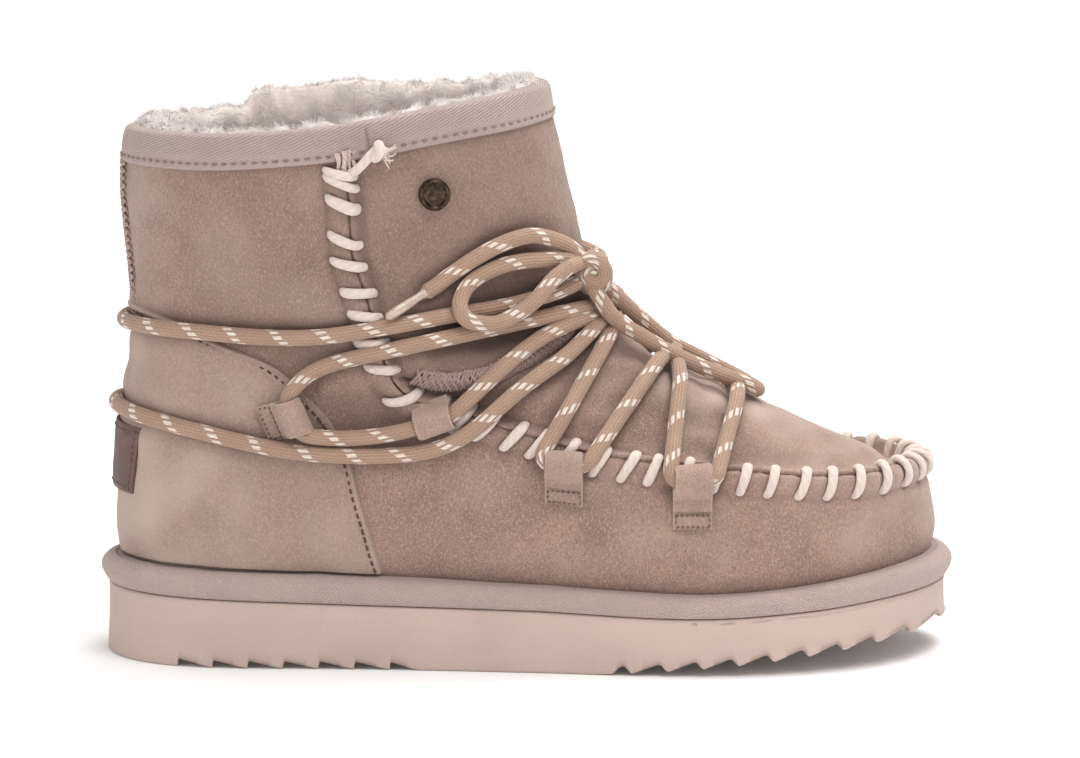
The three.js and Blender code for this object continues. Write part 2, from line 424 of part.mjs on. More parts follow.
const STRETCHES = [
  [...pass(4, S, -6, 0, 6), ...UP_4_FRONT, [180, 7.95, L + 0.4], ...flip([...pass(4, S, -6, 0, 6), ...UP_4_FRONT]).reverse()],
  [...pass(4, S, 6, 0, -6), ...UP_4_REAR, [180, 8.85, L + 4.6], ...flip([...pass(3, S, -6, 0, 6), ...UP_3_FRONT]).reverse()],
  [...pass(3, S, -6, 0, 6), ...UP_3_FRONT, [180, 8.85, L], ...flip([...pass(4, S, 6, 0, -6), ...UP_4_REAR]).reverse()],
  [...pass(3, S, 6, 0, -6), ...UP_3_REAR, [170, 9.75, L + 1.5], [180, 9.85, L + 4.6], ...flip([...pass(2, S, -6, 0, 6), ...UP_2]).reverse()],
  [...pass(2, S, -6, 0, 6), ...UP_2, [180, 9.9, L], ...flip([...pass(3, S, 6, 0, -6), ...UP_3_REAR]).reverse()],
  [...RUN, [185, 10.2, L + 4.6], ...WRAP_UPPER],
  [...flip(RUN), ...WRAP_LOWER],
];
const SCALE = new THREE.Vector3(0.7, 9, 1); // roughly millimetres, for even spacing along a route
function route(rows) {
  const curve = new THREE.CatmullRomCurve3(rows.map((r) => new THREE.Vector3(...r).multiply(SCALE)), false, "centripetal");
  return thinned(curve.getPoints(rows.length * 10).map((q) => { q.divide(SCALE); return lifted(rad(q.x), clamp(q.y, 0.2, COLLAR), q.z); }));
}
// Leaves out the points that a straight step between their neighbours passes closely.
function thinned(points, close = 0.8, longest = 26) {
  const keep = [0];
  for (let i = 0; i < points.length - 1; ) {
    let j = i + 1;
    for (let k = i + 2; k < points.length && points[k].distanceTo(points[i]) < longest; k++) {
      const line = new THREE.Line3(points[i], points[k]), near = new THREE.Vector3();
      let off = 0;
      for (let m = i + 1; m < k; m++) off = Math.max(off, line.closestPointToPoint(points[m], true, near).distanceTo(points[m]));
      if (off > close) break;
      j = k;
    }
    keep.push(j);
    i = j;
  }
  return keep.map((i) => points[i]);
}
// A path for an extrusion that steps exactly through its own points.
class Steps extends THREE.Curve {
  constructor(points) { super(); this.points = points; }
  getPoint(u) { return this.points[Math.round(u * (this.points.length - 1))].clone(); }
  getPointAt(u) { return this.getPoint(u); }
  getTangentAt(u) {
    const n = this.points.length - 1, i = Math.round(u * n), d = (a, b) => this.points[b].clone().sub(this.points[a]).normalize();
    return i === 0 ? d(0, 1) : i === n ? d(n - 1, n) : d(i - 1, i).add(d(i, i + 1)).normalize();
  }
}
function tube(points, r, sides = 8) {
  const ring = new THREE.Shape(circle(sides).map((a) => new THREE.Vector2(r * Math.cos(a), r * Math.sin(a))));
  return solid(new THREE.ExtrudeGeometry(ring, { extrudePath: new Steps(points), steps: points.length - 1, bevelEnabled: false }));
}
const biggest = (m) => m.decompose().sort((a, b) => b.volume() - a.volume())[0];
// the main body of a cut, with its finest slivers merged away
const largest = (m) => biggest(solid(fromSolid(biggest(m).simplify(0.03)), 3e-3));
const union = (list) => list.reduce((a, b) => a.add(b));
const routes = STRETCHES.map((rows) => route(rows));
add("lace", fromSolid(largest(union(routes.map((r) => tube(r, LACE_R))))), LACE_MAT);
let taken = union(routes.map((r) => tube(r, LACE_R + GAP))); // kept clear by every piece after it

for (const side of [S, F])
  for (const k of KEEPERS) {
    const g = new THREE.ExtrudeGeometry(keeperSection(k.length), { depth: KEEPER_WIDTH, bevelEnabled: false, steps: 2 }).translate(0, 0, -KEEPER_WIDTH / 2);
    const p = g.attributes.position, cache = new Map();
    for (const i of range(p.count)) {
      const s = p.getX(i), h = p.getY(i), w = p.getZ(i), key = s.toFixed(3) + "," + w.toFixed(3);
      if (!cache.has(key)) cache.set(key, walk(...walk(rad(onSide(k.phi, side)), k.t, turned(k.lace, side), w), turned(k.tail, side), s));
      const q = lifted(...cache.get(key), h + K_OUT + k.seat);
      p.setXYZ(i, q.x, q.y, q.z);
    }
    add("keeper_" + k.name + (side < 0 ? "_outer" : "_inner"), fromSolid(largest(solid(g).subtract(taken))), SUEDE);
  }

// ---- the bow: a knot, two loops and two ends, all free of the upper ----
const KNOT = { x: 20.9, y: -18.6, z: 123.4, rx: 7.0, ry: 6.6, rz: 8.4 };
const BOW = { // [angle, layer, height] along each free piece, starting at the knot
  lace_bow_rear: [[151.9, 11.12, 7.5], [147.1, 11.13, 6.5], [140.5, 11.07, 5.6], [133.6, 10.95, 4.8], [126.6, 10.72, 4.4], [118.9, 10.3, 4.6], [111.4, 9.72, 6.2], [100.2, 8.57, 8.4], [96.2, 7.89, 9.2], [99.8, 7.89, 9.2], [119.3, 9.27, 9.2], [131.8, 10, 9.2], [141.3, 10.71, 9.5], [147, 10.97, 10.2]],
  lace_end_outer: [[154.7, 11.23, 8], [152, 11.43, 6.6], [146.4, 11.54, 5.4], [139.3, 11.56, 4.6], [130.2, 11.3, 4], [121.1, 10.83, 3.6], [111.6, 10.17, 3.4], [103.9, 9.57, 3.3], [101.1, 9.38, 3.3]],
  lace_end_inner: [[163, 11.22, 7.5], [172, 11.14, 6.2], [188, 11.14, 5.3], [208, 11.16, 4.4], [225, 11.1, 3.9], [238.9, 10.78, 3.6], [248.4, 10.17, 3.4], [256.1, 9.57, 3.3], [258.9, 9.38, 3.3]],
};
const BOW_FRONT = [ // x, y, z: the loop that hangs forward over the vamp
  [25.5, -15.5, 116.5], [27.6, -13.5, 112.6], [32.0, -12, 107.2], [41.7, -11, 100.4], [51.9, -10, 95.4], [62.2, -9, 91.4], [70.6, -7, 87.9], [74.6, -3.8, 86.4],
  [73.6, -0.6, 87.2], [68, 1, 89.8], [60, 0.6, 93.4], [50, -1.4, 99.2], [41.4, -3.4, 105.0], [34.5, -6, 111.4], [29.4, -9.4, 117.4],
];
const AGLETS = { // each stiff tip lies towards a point over the ankle strand
  lace_end_outer: { name: "aglet_outer", towards: [79.6, 7.55, 9.4] },
  lace_end_inner: { name: "aglet_inner", towards: [280.4, 7.55, 9.4] },
};
{
  const knotAt = (grow) => solid(new THREE.SphereGeometry(1, 14, 9).scale(KNOT.rx + grow, KNOT.ry + grow, KNOT.rz + grow).translate(KNOT.x, KNOT.y, KNOT.z));
  add("lace_knot", fromSolid(largest(knotAt(0).subtract(taken))), LACE_MAT);
  taken = taken.add(knotAt(GAP));
  const free = Object.entries(BOW).map(([name, rows]) => [name, route(rows)]);
  free.push(["lace_bow_front", thinned(new THREE.CatmullRomCurve3(BOW_FRONT.map((p) => new THREE.Vector3(...p)), false, "centripetal").getPoints(120))]);
  for (const [name, points] of free) {
    add(name, fromSolid(largest(tube(points, LACE_R).subtract(taken))), LACE_MAT);
    taken = taken.add(tube(points, LACE_R + GAP));
    if (!AGLETS[name]) continue;
    const [phi, t, height] = AGLETS[name].towards, end = points[points.length - 1], d = lifted(rad(phi), t, height).sub(end).normalize();
    const mesh = add(AGLETS[name].name, new THREE.CylinderGeometry(AGLET_R, AGLET_R, AGLET_LENGTH, 12), CLEAR);
    mesh.quaternion.setFromUnitVectors(new THREE.Vector3(0, 1, 0), d);
    mesh.position.copy(end.addScaledVector(d, AGLET_LENGTH / 2 + 3 * GAP));
  }
}

export default boot;
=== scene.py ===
import math
import numpy as np
import bpy
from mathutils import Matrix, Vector
from mathutils.kdtree import KDTree


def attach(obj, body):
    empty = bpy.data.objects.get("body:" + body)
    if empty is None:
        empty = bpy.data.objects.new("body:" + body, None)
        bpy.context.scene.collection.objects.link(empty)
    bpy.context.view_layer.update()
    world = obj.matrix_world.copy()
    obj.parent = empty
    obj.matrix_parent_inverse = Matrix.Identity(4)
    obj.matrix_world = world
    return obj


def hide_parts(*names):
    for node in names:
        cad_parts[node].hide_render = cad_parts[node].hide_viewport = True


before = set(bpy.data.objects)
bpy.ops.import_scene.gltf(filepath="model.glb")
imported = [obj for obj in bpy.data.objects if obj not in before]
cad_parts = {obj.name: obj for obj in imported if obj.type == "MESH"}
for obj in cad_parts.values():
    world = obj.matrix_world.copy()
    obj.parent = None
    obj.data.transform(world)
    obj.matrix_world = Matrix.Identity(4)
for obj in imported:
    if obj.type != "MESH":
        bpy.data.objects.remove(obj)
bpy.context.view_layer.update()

RNG = np.random.default_rng(7)
OFF = np.array((0.9, 1.8, 0.0))  # from the foot's own axes to the part's, in millimetres

# ------------------------------------------------------------------ camera, floor and light
cam_data = bpy.data.cameras.new("camera")
cam_data.sensor_width = 36.0
cam_data.sensor_fit = "HORIZONTAL"
cam_data.lens = 158.2
cam_data.clip_start, cam_data.clip_end = 0.05, 20
cam = bpy.data.objects.new("camera", cam_data)
bpy.context.scene.collection.objects.link(cam)
cam.location = ((4 + OFF[0]) / 1000, (-1500 + OFF[1]) / 1000, 0.314)
cam.rotation_euler = (math.radians(90 - 8.62), 0, 0)
bpy.context.scene.camera = cam


def light(name, kind, place, aim, energy, size=1.0, size_y=None, colour=(1, 1, 1)):
    data = bpy.data.lights.new(name, kind)
    data.energy, data.color = energy, colour
    if kind == "AREA":
        data.shape, data.size, data.size_y = "RECTANGLE", size, size_y or size
    o = bpy.data.objects.new(name, data)
    bpy.context.scene.collection.objects.link(o)
    o.location = place
    o.rotation_euler = (Vector(aim) - Vector(place)).to_track_quat("-Z", "Y").to_euler()
    return o


light("key", "AREA", (0.35, -0.75, 1.25), (0, 0, 0.07), 9.0, 0.9, 0.7, (1.0, 0.99, 0.98))
light("fill", "AREA", (-1.1, -0.9, 0.6), (0, 0, 0.06), 3.0, 0.8, 0.8, (1.0, 0.99, 0.985))
light("top", "AREA", (0.25, 0.25, 1.3), (0.05, 0, 0.05), 17.0, 1.0, 0.9)

world = bpy.data.worlds.new("studio")
bpy.context.scene.world = world
world.use_nodes = True
world.node_tree.nodes["Background"].inputs["Color"].default_value = (1.0, 0.995, 0.99, 1)
world.node_tree.nodes["Background"].inputs["Strength"].default_value = 0.5
bpy.context.scene.view_settings.view_transform = "Standard"
bpy.context.scene.view_settings.look = "None"


# ------------------------------------------------------------------ node helpers
class Mat:
    """A node material, built with short calls."""

    def __init__(self, name, **shader):
        self.m = bpy.data.materials.new(name)
        self.m.use_nodes = True
        self.t = self.m.node_tree
        self.b = self.t.nodes["Principled BSDF"]
        for k, v in shader.items():
            self.b.inputs[k.replace("_", " ")].default_value = v

    def node(self, kind, inputs=(), **props):
        n = self.t.nodes.new(kind)
        for k, v in props.items():
            setattr(n, k, v)
        for k, v in dict(inputs).items():
            if isinstance(v, bpy.types.NodeSocket):
                self.t.links.new(v, n.inputs[k])
            else:
                n.inputs[k].default_value = v
        return n

    def math(self, op, a, b=0.0, c=None, clamp=False):
        n = self.t.nodes.new("ShaderNodeMath")
        n.operation, n.use_clamp = op, clamp
        for i, v in enumerate((a, b) if c is None else (a, b, c)):
            if isinstance(v, bpy.types.NodeSocket):
                self.t.links.new(v, n.inputs[i])
            else:
                n.inputs[i].default_value = v
        return n.outputs[0]

    def coords(self, scale=1000.0):
        tc = self.node("ShaderNodeTexCoord")
        return self.node("ShaderNodeMapping", {"Vector": tc.outputs["Object"], "Scale": (scale,) * 3}).outputs[0]

    def uv(self, scale=(1, 1, 1), name=None):
        tc = self.node("ShaderNodeTexCoord")
        return self.node("ShaderNodeMapping", {"Vector": tc.outputs["UV"], "Scale": scale}).outputs[0]

    def noise(self, vec, scale, detail=2.0, rough=0.5, distort=0.0):
        return self.node("ShaderNodeTexNoise", {"Vector": vec, "Scale": scale, "Detail": detail, "Roughness": rough, "Distortion": distort}).outputs["Fac"]

    def ramp(self, fac, stops, interp="LINEAR"):
        n = self.node("ShaderNodeValToRGB", {"Fac": fac})
        n.color_ramp.interpolation = interp
        e = n.color_ramp.elements
        while len(e) < len(stops):
            e.new(0.5)
        for el, (pos, col) in zip(e, stops):
            el.position = pos
            el.color = (*((col,) * 3 if isinstance(col, (int, float)) else col), 1)
        return n.outputs["Color"]

    def mix(self, fac, a, b, blend="MIX"):
        n = self.node("ShaderNodeMix", data_type="RGBA", blend_type=blend)
        for i, v in ((0, fac), (6, a), (7, b)):
            if isinstance(v, bpy.types.NodeSocket):
                self.t.links.new(v, n.inputs[i])
            else:
                n.inputs[i].default_value = (*v, 1) if isinstance(v, tuple) and len(v) == 3 else v
        return n.outputs[2]

    def attr(self, name):
        return self.node("ShaderNodeAttribute", attribute_name=name).outputs["Fac"]

    def colour(self, socket):
        self.t.links.new(socket, self.b.inputs["Base Color"])

    def bump(self, height, distance=0.0002, strength=1.0, normal=None):
        n = self.node("ShaderNodeBump", {"Height": height, "Distance": distance, "Strength": strength})
        if normal is not None:
            self.t.links.new(normal, n.inputs["Normal"])
        self.t.links.new(n.outputs[0], self.b.inputs["Normal"])
        return n.outputs[0]

    def rough(self, socket):
        self.t.links.new(socket, self.b.inputs["Roughness"])


def lin(r, g, b):
    """A colour from 0-255 display values."""
    f = lambda c: (c / 255 / 12.92) if c / 255 <= 0.04045 else ((c / 255 + 0.055) / 1.055) ** 2.4
    return (f(r), f(g), f(b))


def times(c, k):
    return tuple(min(1.0, x * k) for x in c)


# ------------------------------------------------------------------ materials
def suede(name, tone=(177, 146, 131), light=1.0, grain=1.0):
    m = Mat(name, Roughness=0.96, Sheen_Weight=0.22, Sheen_Roughness=0.55)
    m.b.inputs["Specular IOR Level"].default_value = 0.12
    m.b.inputs["Sheen Tint"].default_value = (1.0, 0.93, 0.88, 1)
    c = times(lin(*tone), light)
    v = m.coords()
    # the nap lies in soft strokes: the grain is a little longer than wide
    w = m.node("ShaderNodeMapping", {"Vector": v, "Scale": (1.25, 1.25, 0.8)}).outputs[0]
    fine = m.noise(w, 1.7, 3.0, 0.66, 0.35)
    flecks = m.noise(w, 1.35, 3.0, 0.62, 0.5)
    mid = m.noise(v, 0.22, 3.0, 0.55)
    cloud = m.noise(v, 0.038, 3.0, 0.6, 0.6)
    cloud2 = m.noise(v, 0.075, 2.0, 0.5, 0.3)
    base = m.ramp(cloud, [(0.30, times(c, 0.76)), (0.5, c), (0.70, times(c, 1.26))])
    base = m.mix(m.ramp(cloud2, [(0.35, 0.0), (0.72, 0.55)]), base, times(c, 1.13))
    base = m.mix(m.ramp(mid, [(0.35, 0.5), (0.5, 0.0)]), base, times(c, 0.84))
    dark = m.ramp(fine, [(0.34, 0.85 * grain), (0.52, 0.0)])
    base = m.mix(dark, base, times(c, 0.62))
    pale = m.ramp(flecks, [(0.49, 0.0), (0.66, 0.72 * grain)])
    base = m.mix(pale, base, times(lin(min(255, tone[0] + 36), min(255, tone[1] + 37), min(255, tone[2] + 34)), light))
    wear = m.attr("wear")
    base = m.mix(m.math("MULTIPLY", wear, 0.92, clamp=True), base, times(lin(226, 203, 189), light))
    # painted shade: the 'shade' attribute darkens the suede in the hollows, under the laces and along the seams and
    # edges
    painted_shade = m.attr("shade")
    base = m.mix(m.math("MULTIPLY", painted_shade, 0.8, clamp=True), base, times(c, 0.55))
    m.colour(base)
    h = m.math("ADD", m.math("MULTIPLY", fine, 0.7), m.math("MULTIPLY", flecks, 0.5))
    m.bump(h, 0.00035, 0.55)
    return m.m


def tape(name, tone=(168, 150, 143), fade=(20.0, 21.0), twist=0.30):
    """Twill tape: fine diagonal ribs, across the UV measured in millimetres."""
    m = Mat(name, Roughness=0.85, Sheen_Weight=0.15)
    m.b.inputs["Specular IOR Level"].default_value = 0.2
    c = lin(*tone)
    uv = m.uv()
    x = m.node("ShaderNodeSeparateXYZ", {"Vector": uv})
    u, v = x.outputs[0], x.outputs[1]
    wob = m.noise(m.coords(), 0.3, 2.0)
    # diagonal ridges of the twill, crossed by the fine weft
    d = m.math("ADD", m.math("ADD", m.math("MULTIPLY", u, twist), v), m.math("MULTIPLY", wob, 0.35))
    rib = m.math("ADD", m.math("MULTIPLY", m.math("SINE", m.math("MULTIPLY", d, 2 * math.pi / 0.92)), 0.5), 0.5)
    weft = m.math("ADD", m.math("MULTIPLY", m.math("SINE", m.math("MULTIPLY", m.math("ADD", u, m.math("MULTIPLY", v, 0.25)), 2 * math.pi / 0.62)), 0.5), 0.5)
    h = m.math("ADD", m.math("MULTIPLY", rib, 0.7), m.math("MULTIPLY", weft, 0.3))
    calm = m.math("SUBTRACT", 1.0, m.node("ShaderNodeMapRange", {"Value": v, "From Min": fade[0], "From Max": fade[1], "To Min": 0.0, "To Max": 0.7}).outputs[0])
    h = m.math("ADD", m.math("MULTIPLY", m.math("SUBTRACT", h, 0.5), calm), 0.5)
    cloud = m.noise(m.coords(), 0.09, 3.0)
    fuzz = m.noise(m.coords(), 1.9, 3.0, 0.6)
    # the ribs' crests are painted lighter and their hollows darker: painted highlight and painted shade
    col = m.ramp(h, [(0.1, times(c, 0.70)), (0.5, c), (0.95, times(c, 1.22))])
    col = m.mix(m.ramp(cloud, [(0.35, 0.35), (0.6, 0.0)]), col, times(c, 0.84))
    col = m.mix(m.ramp(fuzz, [(0.52, 0.0), (0.68, 0.45)]), col, times(c, 1.3))
    col = m.mix(m.math("MULTIPLY", m.attr("shade"), 0.85, clamp=True), col, times(c, 0.45))
    m.colour(col)
    m.bump(m.math("ADD", h, m.math("MULTIPLY", fuzz, 0.6)), 0.00028, 0.85)
    return m.m


def foam(name, tone=(194, 173, 163)):
    m = Mat(name, Roughness=0.62)
    m.b.inputs["Specular IOR Level"].default_value = 0.3
    m.b.inputs["Subsurface Weight"].default_value = 0.06
    m.b.inputs["Subsurface Scale"].default_value = 0.002
    c = lin(*tone)
    v = m.coords()
    cloud = m.noise(v, 0.03, 2.0, 0.5, 0.5)
    streak = m.noise(m.node("ShaderNodeMapping", {"Vector": v, "Scale": (0.02, 0.02, 0.35)}).outputs[0], 1.0, 3.0)
    pores = m.node("ShaderNodeTexVoronoi", {"Vector": v, "Scale": 1.1}).outputs["Distance"]
    grain = m.noise(v, 1.6, 3.0, 0.6)
    col = m.ramp(cloud, [(0.3, times(c, 0.94)), (0.7, times(c, 1.06))])
    col = m.mix(m.ramp(streak, [(0.4, 0.16), (0.6, 0.0)]), col, times(c, 0.88))
    col = m.mix(m.ramp(grain, [(0.38, 0.25), (0.5, 0.0)]), col, times(c, 0.84))
    col = m.mix(m.math("MULTIPLY", m.attr("shade"), 0.9, clamp=True), col, lin(120, 98, 88))
    m.colour(col)
    m.rough(m.ramp(grain, [(0.3, 0.72), (0.7, 0.56)]))
    m.bump(m.math("ADD", m.math("MULTIPLY", pores, 0.5), grain), 0.00008, 0.5)
    return m.m


def fleece(name, tone=(211, 199, 192)):
    m = Mat(name, Roughness=1.0, Sheen_Weight=0.5, Sheen_Roughness=0.4)
    m.b.inputs["Specular IOR Level"].default_value = 0.05
    m.b.inputs["Subsurface Weight"].default_value = 0.15
    m.b.inputs["Subsurface Scale"].default_value = 0.003
    c = lin(*tone)
    v = m.coords()
    curl = m.noise(v, 0.22, 3.0, 0.6, 0.8)
    fine = m.noise(v, 1.5, 3.0, 0.6)
    col = m.ramp(curl, [(0.32, times(c, 0.90)), (0.55, c), (0.75, times(c, 1.05))])
    col = m.mix(m.ramp(fine, [(0.35, 0.3), (0.5, 0.0)]), col, times(c, 0.88))
    col = m.mix(m.math("MULTIPLY", m.attr("shade"), 0.9, clamp=True), col, times(lin(188, 164, 152), 0.85))
    m.colour(col)
    m.bump(m.math("ADD", curl, m.math("MULTIPLY", fine, 0.4)), 0.0008, 0.6)
    return m.m


def cord(name, tone=(165, 137, 119)):
    """Braided cord. UV: u along in millimetres, v round the cord from 0 to 1."""
    m = Mat(name, Roughness=0.8, Sheen_Weight=0.15)
    m.b.inputs["Specular IOR Level"].default_value = 0.2
    c = lin(*tone)
    s = m.node("ShaderNodeSeparateXYZ", {"Vector": m.uv()})
    u, v = s.outputs[0], s.outputs[1]
    # sixteen strands lie side by side; each dives under its neighbour at a steady pitch
    col16 = m.math("MULTIPLY", v, 16.0)
    odd = m.math("GREATER_THAN", m.math("FRACT", m.math("MULTIPLY", col16, 0.5)), 0.5)
    rib = m.math("ABSOLUTE", m.math("SINE", m.math("MULTIPLY", col16, math.pi)))
    along = m.math("ADD", m.math("MULTIPLY", u, 1 / 1.9), m.math("MULTIPLY", odd, 0.5))
    dive = m.math("ABSOLUTE", m.math("SINE", m.math("MULTIPLY", along, math.pi)))
    slant = m.math("SINE", m.math("MULTIPLY", m.math("ADD", m.math("MULTIPLY", u, 1 / 0.55), m.math("MULTIPLY", v, 22.0)), 2 * math.pi))
    h = m.math("ADD", m.math("MULTIPLY", rib, m.math("ADD", m.math("MULTIPLY", dive, 0.55), 0.45)), m.math("MULTIPLY", slant, 0.07))
    fuzz = m.noise(m.coords(), 2.6, 2.0)
    soil = m.noise(m.coords(), 0.11, 2.0)
    # the strands' crowns are painted lighter and the dips where they dive darker: painted highlight and painted shade
    col = m.ramp(h, [(0.05, times(c, 0.78)), (0.5, times(c, 1.0)), (1.0, times(c, 1.14))])
    col = m.mix(m.ramp(fuzz, [(0.52, 0.0), (0.7, 0.45)]), col, times(c, 1.35))
    col = m.mix(m.ramp(fuzz, [(0.3, 0.4), (0.46, 0.0)]), col, times(c, 0.74))
    col = m.mix(m.ramp(soil, [(0.4, 0.3), (0.6, 0.0)]), col, times(c, 0.8))
    # a pale tracer winds round once in fifteen millimetres and shows as short slanted dashes side by side
    stray = m.math("MULTIPLY", m.math("SUBTRACT", m.noise(m.node("ShaderNodeMapping", {"Vector": m.uv(), "Scale": (0.12, 5.0, 1.0)}).outputs[0], 1.0, 1.0), 0.5), 0.16)
    k = m.math("SUBTRACT", m.math("FRACT", m.math("ADD", m.math("SUBTRACT", m.math("ADD", v, 4.0), m.math("MULTIPLY", u, 1 / 15.0)), stray)), 0.5)
    k = m.math("ABSOLUTE", k)
    band = m.ramp(k, [(0.085, 1.0), (0.12, 0.0)])
    row = m.ramp(m.math("ABSOLUTE", m.math("SUBTRACT", m.math("FRACT", m.math("ADD", m.math("MULTIPLY", v, 8.0), m.math("MULTIPLY", u, 0.05))), 0.5)), [(0.22, 1.0), (0.34, 0.0)])
    on = m.math("MULTIPLY", m.math("MULTIPLY", band, row), m.ramp(fuzz, [(0.3, 0.65), (0.5, 0.95)]))
    # the tracer is painted darker in the same dips: painted shade
    col = m.mix(on, col, m.ramp(h, [(0.0, lin(200, 184, 172)), (0.5, lin(232, 222, 213))]))
    m.colour(col)
    m.bump(m.math("ADD", m.math("ADD", h, m.math("MULTIPLY", on, 0.3)), m.math("MULTIPLY", fuzz, 0.3)), 0.00022, 0.75)
    return m.m


def thread(name, tone=(222, 206, 196)):
    """Thick soft stitching yarn. UV: u along in millimetres, v round from 0 to 1."""
    m = Mat(name, Roughness=0.9, Sheen_Weight=0.25)
    m.b.inputs["Specular IOR Level"].default_value = 0.1
    m.b.inputs["Subsurface Weight"].default_value = 0.1
    m.b.inputs["Subsurface Scale"].default_value = 0.001
    c = lin(*tone)
    s = m.node("ShaderNodeSeparateXYZ", {"Vector": m.uv()})
    ply = m.math("SINE", m.math("MULTIPLY", m.math("ADD", m.math("MULTIPLY", s.outputs[1], 3.0), m.math("MULTIPLY", s.outputs[0], 0.30)), 2 * math.pi))
    fibre = m.noise(m.node("ShaderNodeMapping", {"Vector": m.uv(), "Scale": (0.5, 30.0, 1.0)}).outputs[0], 1.0, 3.0, 0.6)
    fuzz = m.noise(m.coords(), 1.8, 3.0, 0.6)
    # the grooves between the plies are painted darker: painted shade
    col = m.ramp(ply, [(0.0, times(c, 0.92)), (0.6, c)])
    col = m.mix(m.ramp(fibre, [(0.35, 0.4), (0.55, 0.0)]), col, times(c, 0.80))
    col = m.mix(m.ramp(fuzz, [(0.35, 0.25), (0.5, 0.0)]), col, times(c, 0.84))
    m.colour(col)
    m.bump(m.math("ADD", m.math("MULTIPLY", ply, 0.4), m.math("ADD", fuzz, fibre)), 0.0002, 0.6)
    return m.m


def hide(name, tone=(104, 78, 70)):
    m = Mat(name, Roughness=0.55)
    m.b.inputs["Specular IOR Level"].default_value = 0.4
    c = lin(*tone)
    v = m.coords()
    cell = m.node("ShaderNodeTexVoronoi", {"Vector": v, "Scale": 1.3}, feature="DISTANCE_TO_EDGE").outputs["Distance"]
    cloud = m.noise(v, 0.12, 4.0, 0.6)
    col = m.ramp(cloud, [(0.3, times(c, 0.72)), (0.55, c), (0.8, times(c, 1.35))])
    # the grain's creases along the cell edges are painted darker: painted shade
    col = m.mix(m.ramp(cell, [(0.0, 0.45), (0.12, 0.0)]), col, times(c, 0.5))
    col = m.mix(m.math("MULTIPLY", m.attr("wear"), 0.8, clamp=True), col, times(c, 1.9))
    m.colour(col)
    m.rough(m.ramp(cloud, [(0.3, 0.5), (0.7, 0.68)]))
    m.bump(m.math("ADD", m.ramp(cell, [(0.0, 0.0), (0.15, 1.0)]), m.math("MULTIPLY", m.noise(v, 2.5, 2.0), 0.3)), 0.00012, 0.6)
    return m.m


def bronze(name):
    m = Mat(name, Metallic=0.9, Roughness=0.34)
    v = m.coords()
    age = m.noise(v, 0.6, 4.0, 0.65)
    fine = m.noise(v, 3.0, 2.0)
    m.colour(m.ramp(age, [(0.35, lin(44, 35, 29)), (0.55, lin(74, 58, 46)), (0.75, lin(112, 92, 74))]))
    m.rough(m.ramp(fine, [(0.3, 0.26), (0.7, 0.5)]))
    m.bump(fine, 0.00003, 0.5)
    return m.m


def tip(name):
    m = Mat(name, Roughness=0.28)
    m.b.inputs["Specular IOR Level"].default_value = 0.5
    m.b.inputs["Subsurface Weight"].default_value = 0.25
    m.b.inputs["Subsurface Scale"].default_value = 0.002
    s = m.node("ShaderNodeSeparateXYZ", {"Vector": m.uv()})
    rib = m.math("SINE", m.math("MULTIPLY", s.outputs[1], 2 * math.pi * 7))
    fog = m.noise(m.coords(), 0.5, 3.0)
    col = m.ramp(fog, [(0.3, lin(170, 150, 137)), (0.7, lin(205, 190, 178))])
    col = m.mix(m.ramp(rib, [(0.0, 0.35), (0.5, 0.0)]), col, lin(176, 150, 130))
    m.colour(col)
    m.bump(m.math("ADD", rib, fog), 0.0001, 0.4)
    return m.m


def dark_thread(name, tone=(112, 86, 78)):
    m = Mat(name, Roughness=0.8)
    m.b.inputs["Specular IOR Level"].default_value = 0.25
    c = lin(*tone)
    n = m.noise(m.coords(), 2.0, 2.0)
    m.colour(m.ramp(n, [(0.35, times(c, 0.75)), (0.65, times(c, 1.2))]))
    m.bump(n, 0.0001, 0.5)
    return m.m


SUEDE = suede("suede", (177, 147, 133), 0.665)
SUEDE_STRAP = suede("suede_strap", (181, 152, 138), 0.70, 0.8)
TAPE = tape("twill_tape", fade=(4.2, 6.8), twist=0.36)
WELT = tape("welt_tape", (182, 162, 154), twist=0.95)
FOAM = foam("foam")
FLEECE = fleece("fleece")
CORD = cord("cord")
YARN = thread("yarn")
YARN_GREY = dark_thread("torn_edge", (196, 176, 166))
HIDE = hide("leather_label")
BRONZE = bronze("bronze")
TIP = tip("aglet")
STITCH = dark_thread("stitch_thread", (120, 96, 88))
STITCH_PALE = dark_thread("stitch_thread_pale", (164, 144, 136))
STITCH_DARK = dark_thread("stitch_thread_dark", (92, 70, 62))
STITCH_FOOT = dark_thread("stitch_thread_foot", (122, 99, 88))
STITCH_SEAM = dark_thread("stitch_thread_seam", (170, 148, 141))
STITCH_TAPE = dark_thread("stitch_thread_tape", (136, 115, 107))
STITCH_MAUVE = dark_thread("stitch_thread_mauve", (152, 130, 122))

floor_mat = Mat("floor", Roughness=0.9)
floor_mat.b.inputs["Specular IOR Level"].default_value = 0.1
floor_mat.colour(floor_mat.ramp(floor_mat.noise(floor_mat.coords(1.0), 2.0), [(0.0, 0.93), (1.0, 0.96)]))
# the studio's sweep glows: faintly beside the object, a painted light that lifts its cast shadow, and more away from
# it, so that it stays white to its far edge
far = floor_mat.node("ShaderNodeVectorMath", {0: floor_mat.coords(1.0)}, operation="LENGTH").outputs["Value"]
glow = floor_mat.ramp(floor_mat.math("MULTIPLY", far, 0.5), [(0.0, 0.04), (0.13, 0.10), (0.52, 1.0)])
floor_mat.t.links.new(glow, floor_mat.b.inputs["Emission Color"])
floor_mat.b.inputs["Emission Strength"].default_value = 0.55
me = bpy.data.meshes.new("floor")
me.from_pydata([(-6, -4, 0), (6, -4, 0), (6, 9, 0), (-6, 9, 0)], [], [(0, 1, 2, 3)])
floor = bpy.data.objects.new("floor", me)
me.materials.append(floor_mat.m)
bpy.context.scene.collection.objects.link(floor)

# ------------------------------------------------------------------ the foot's geometry

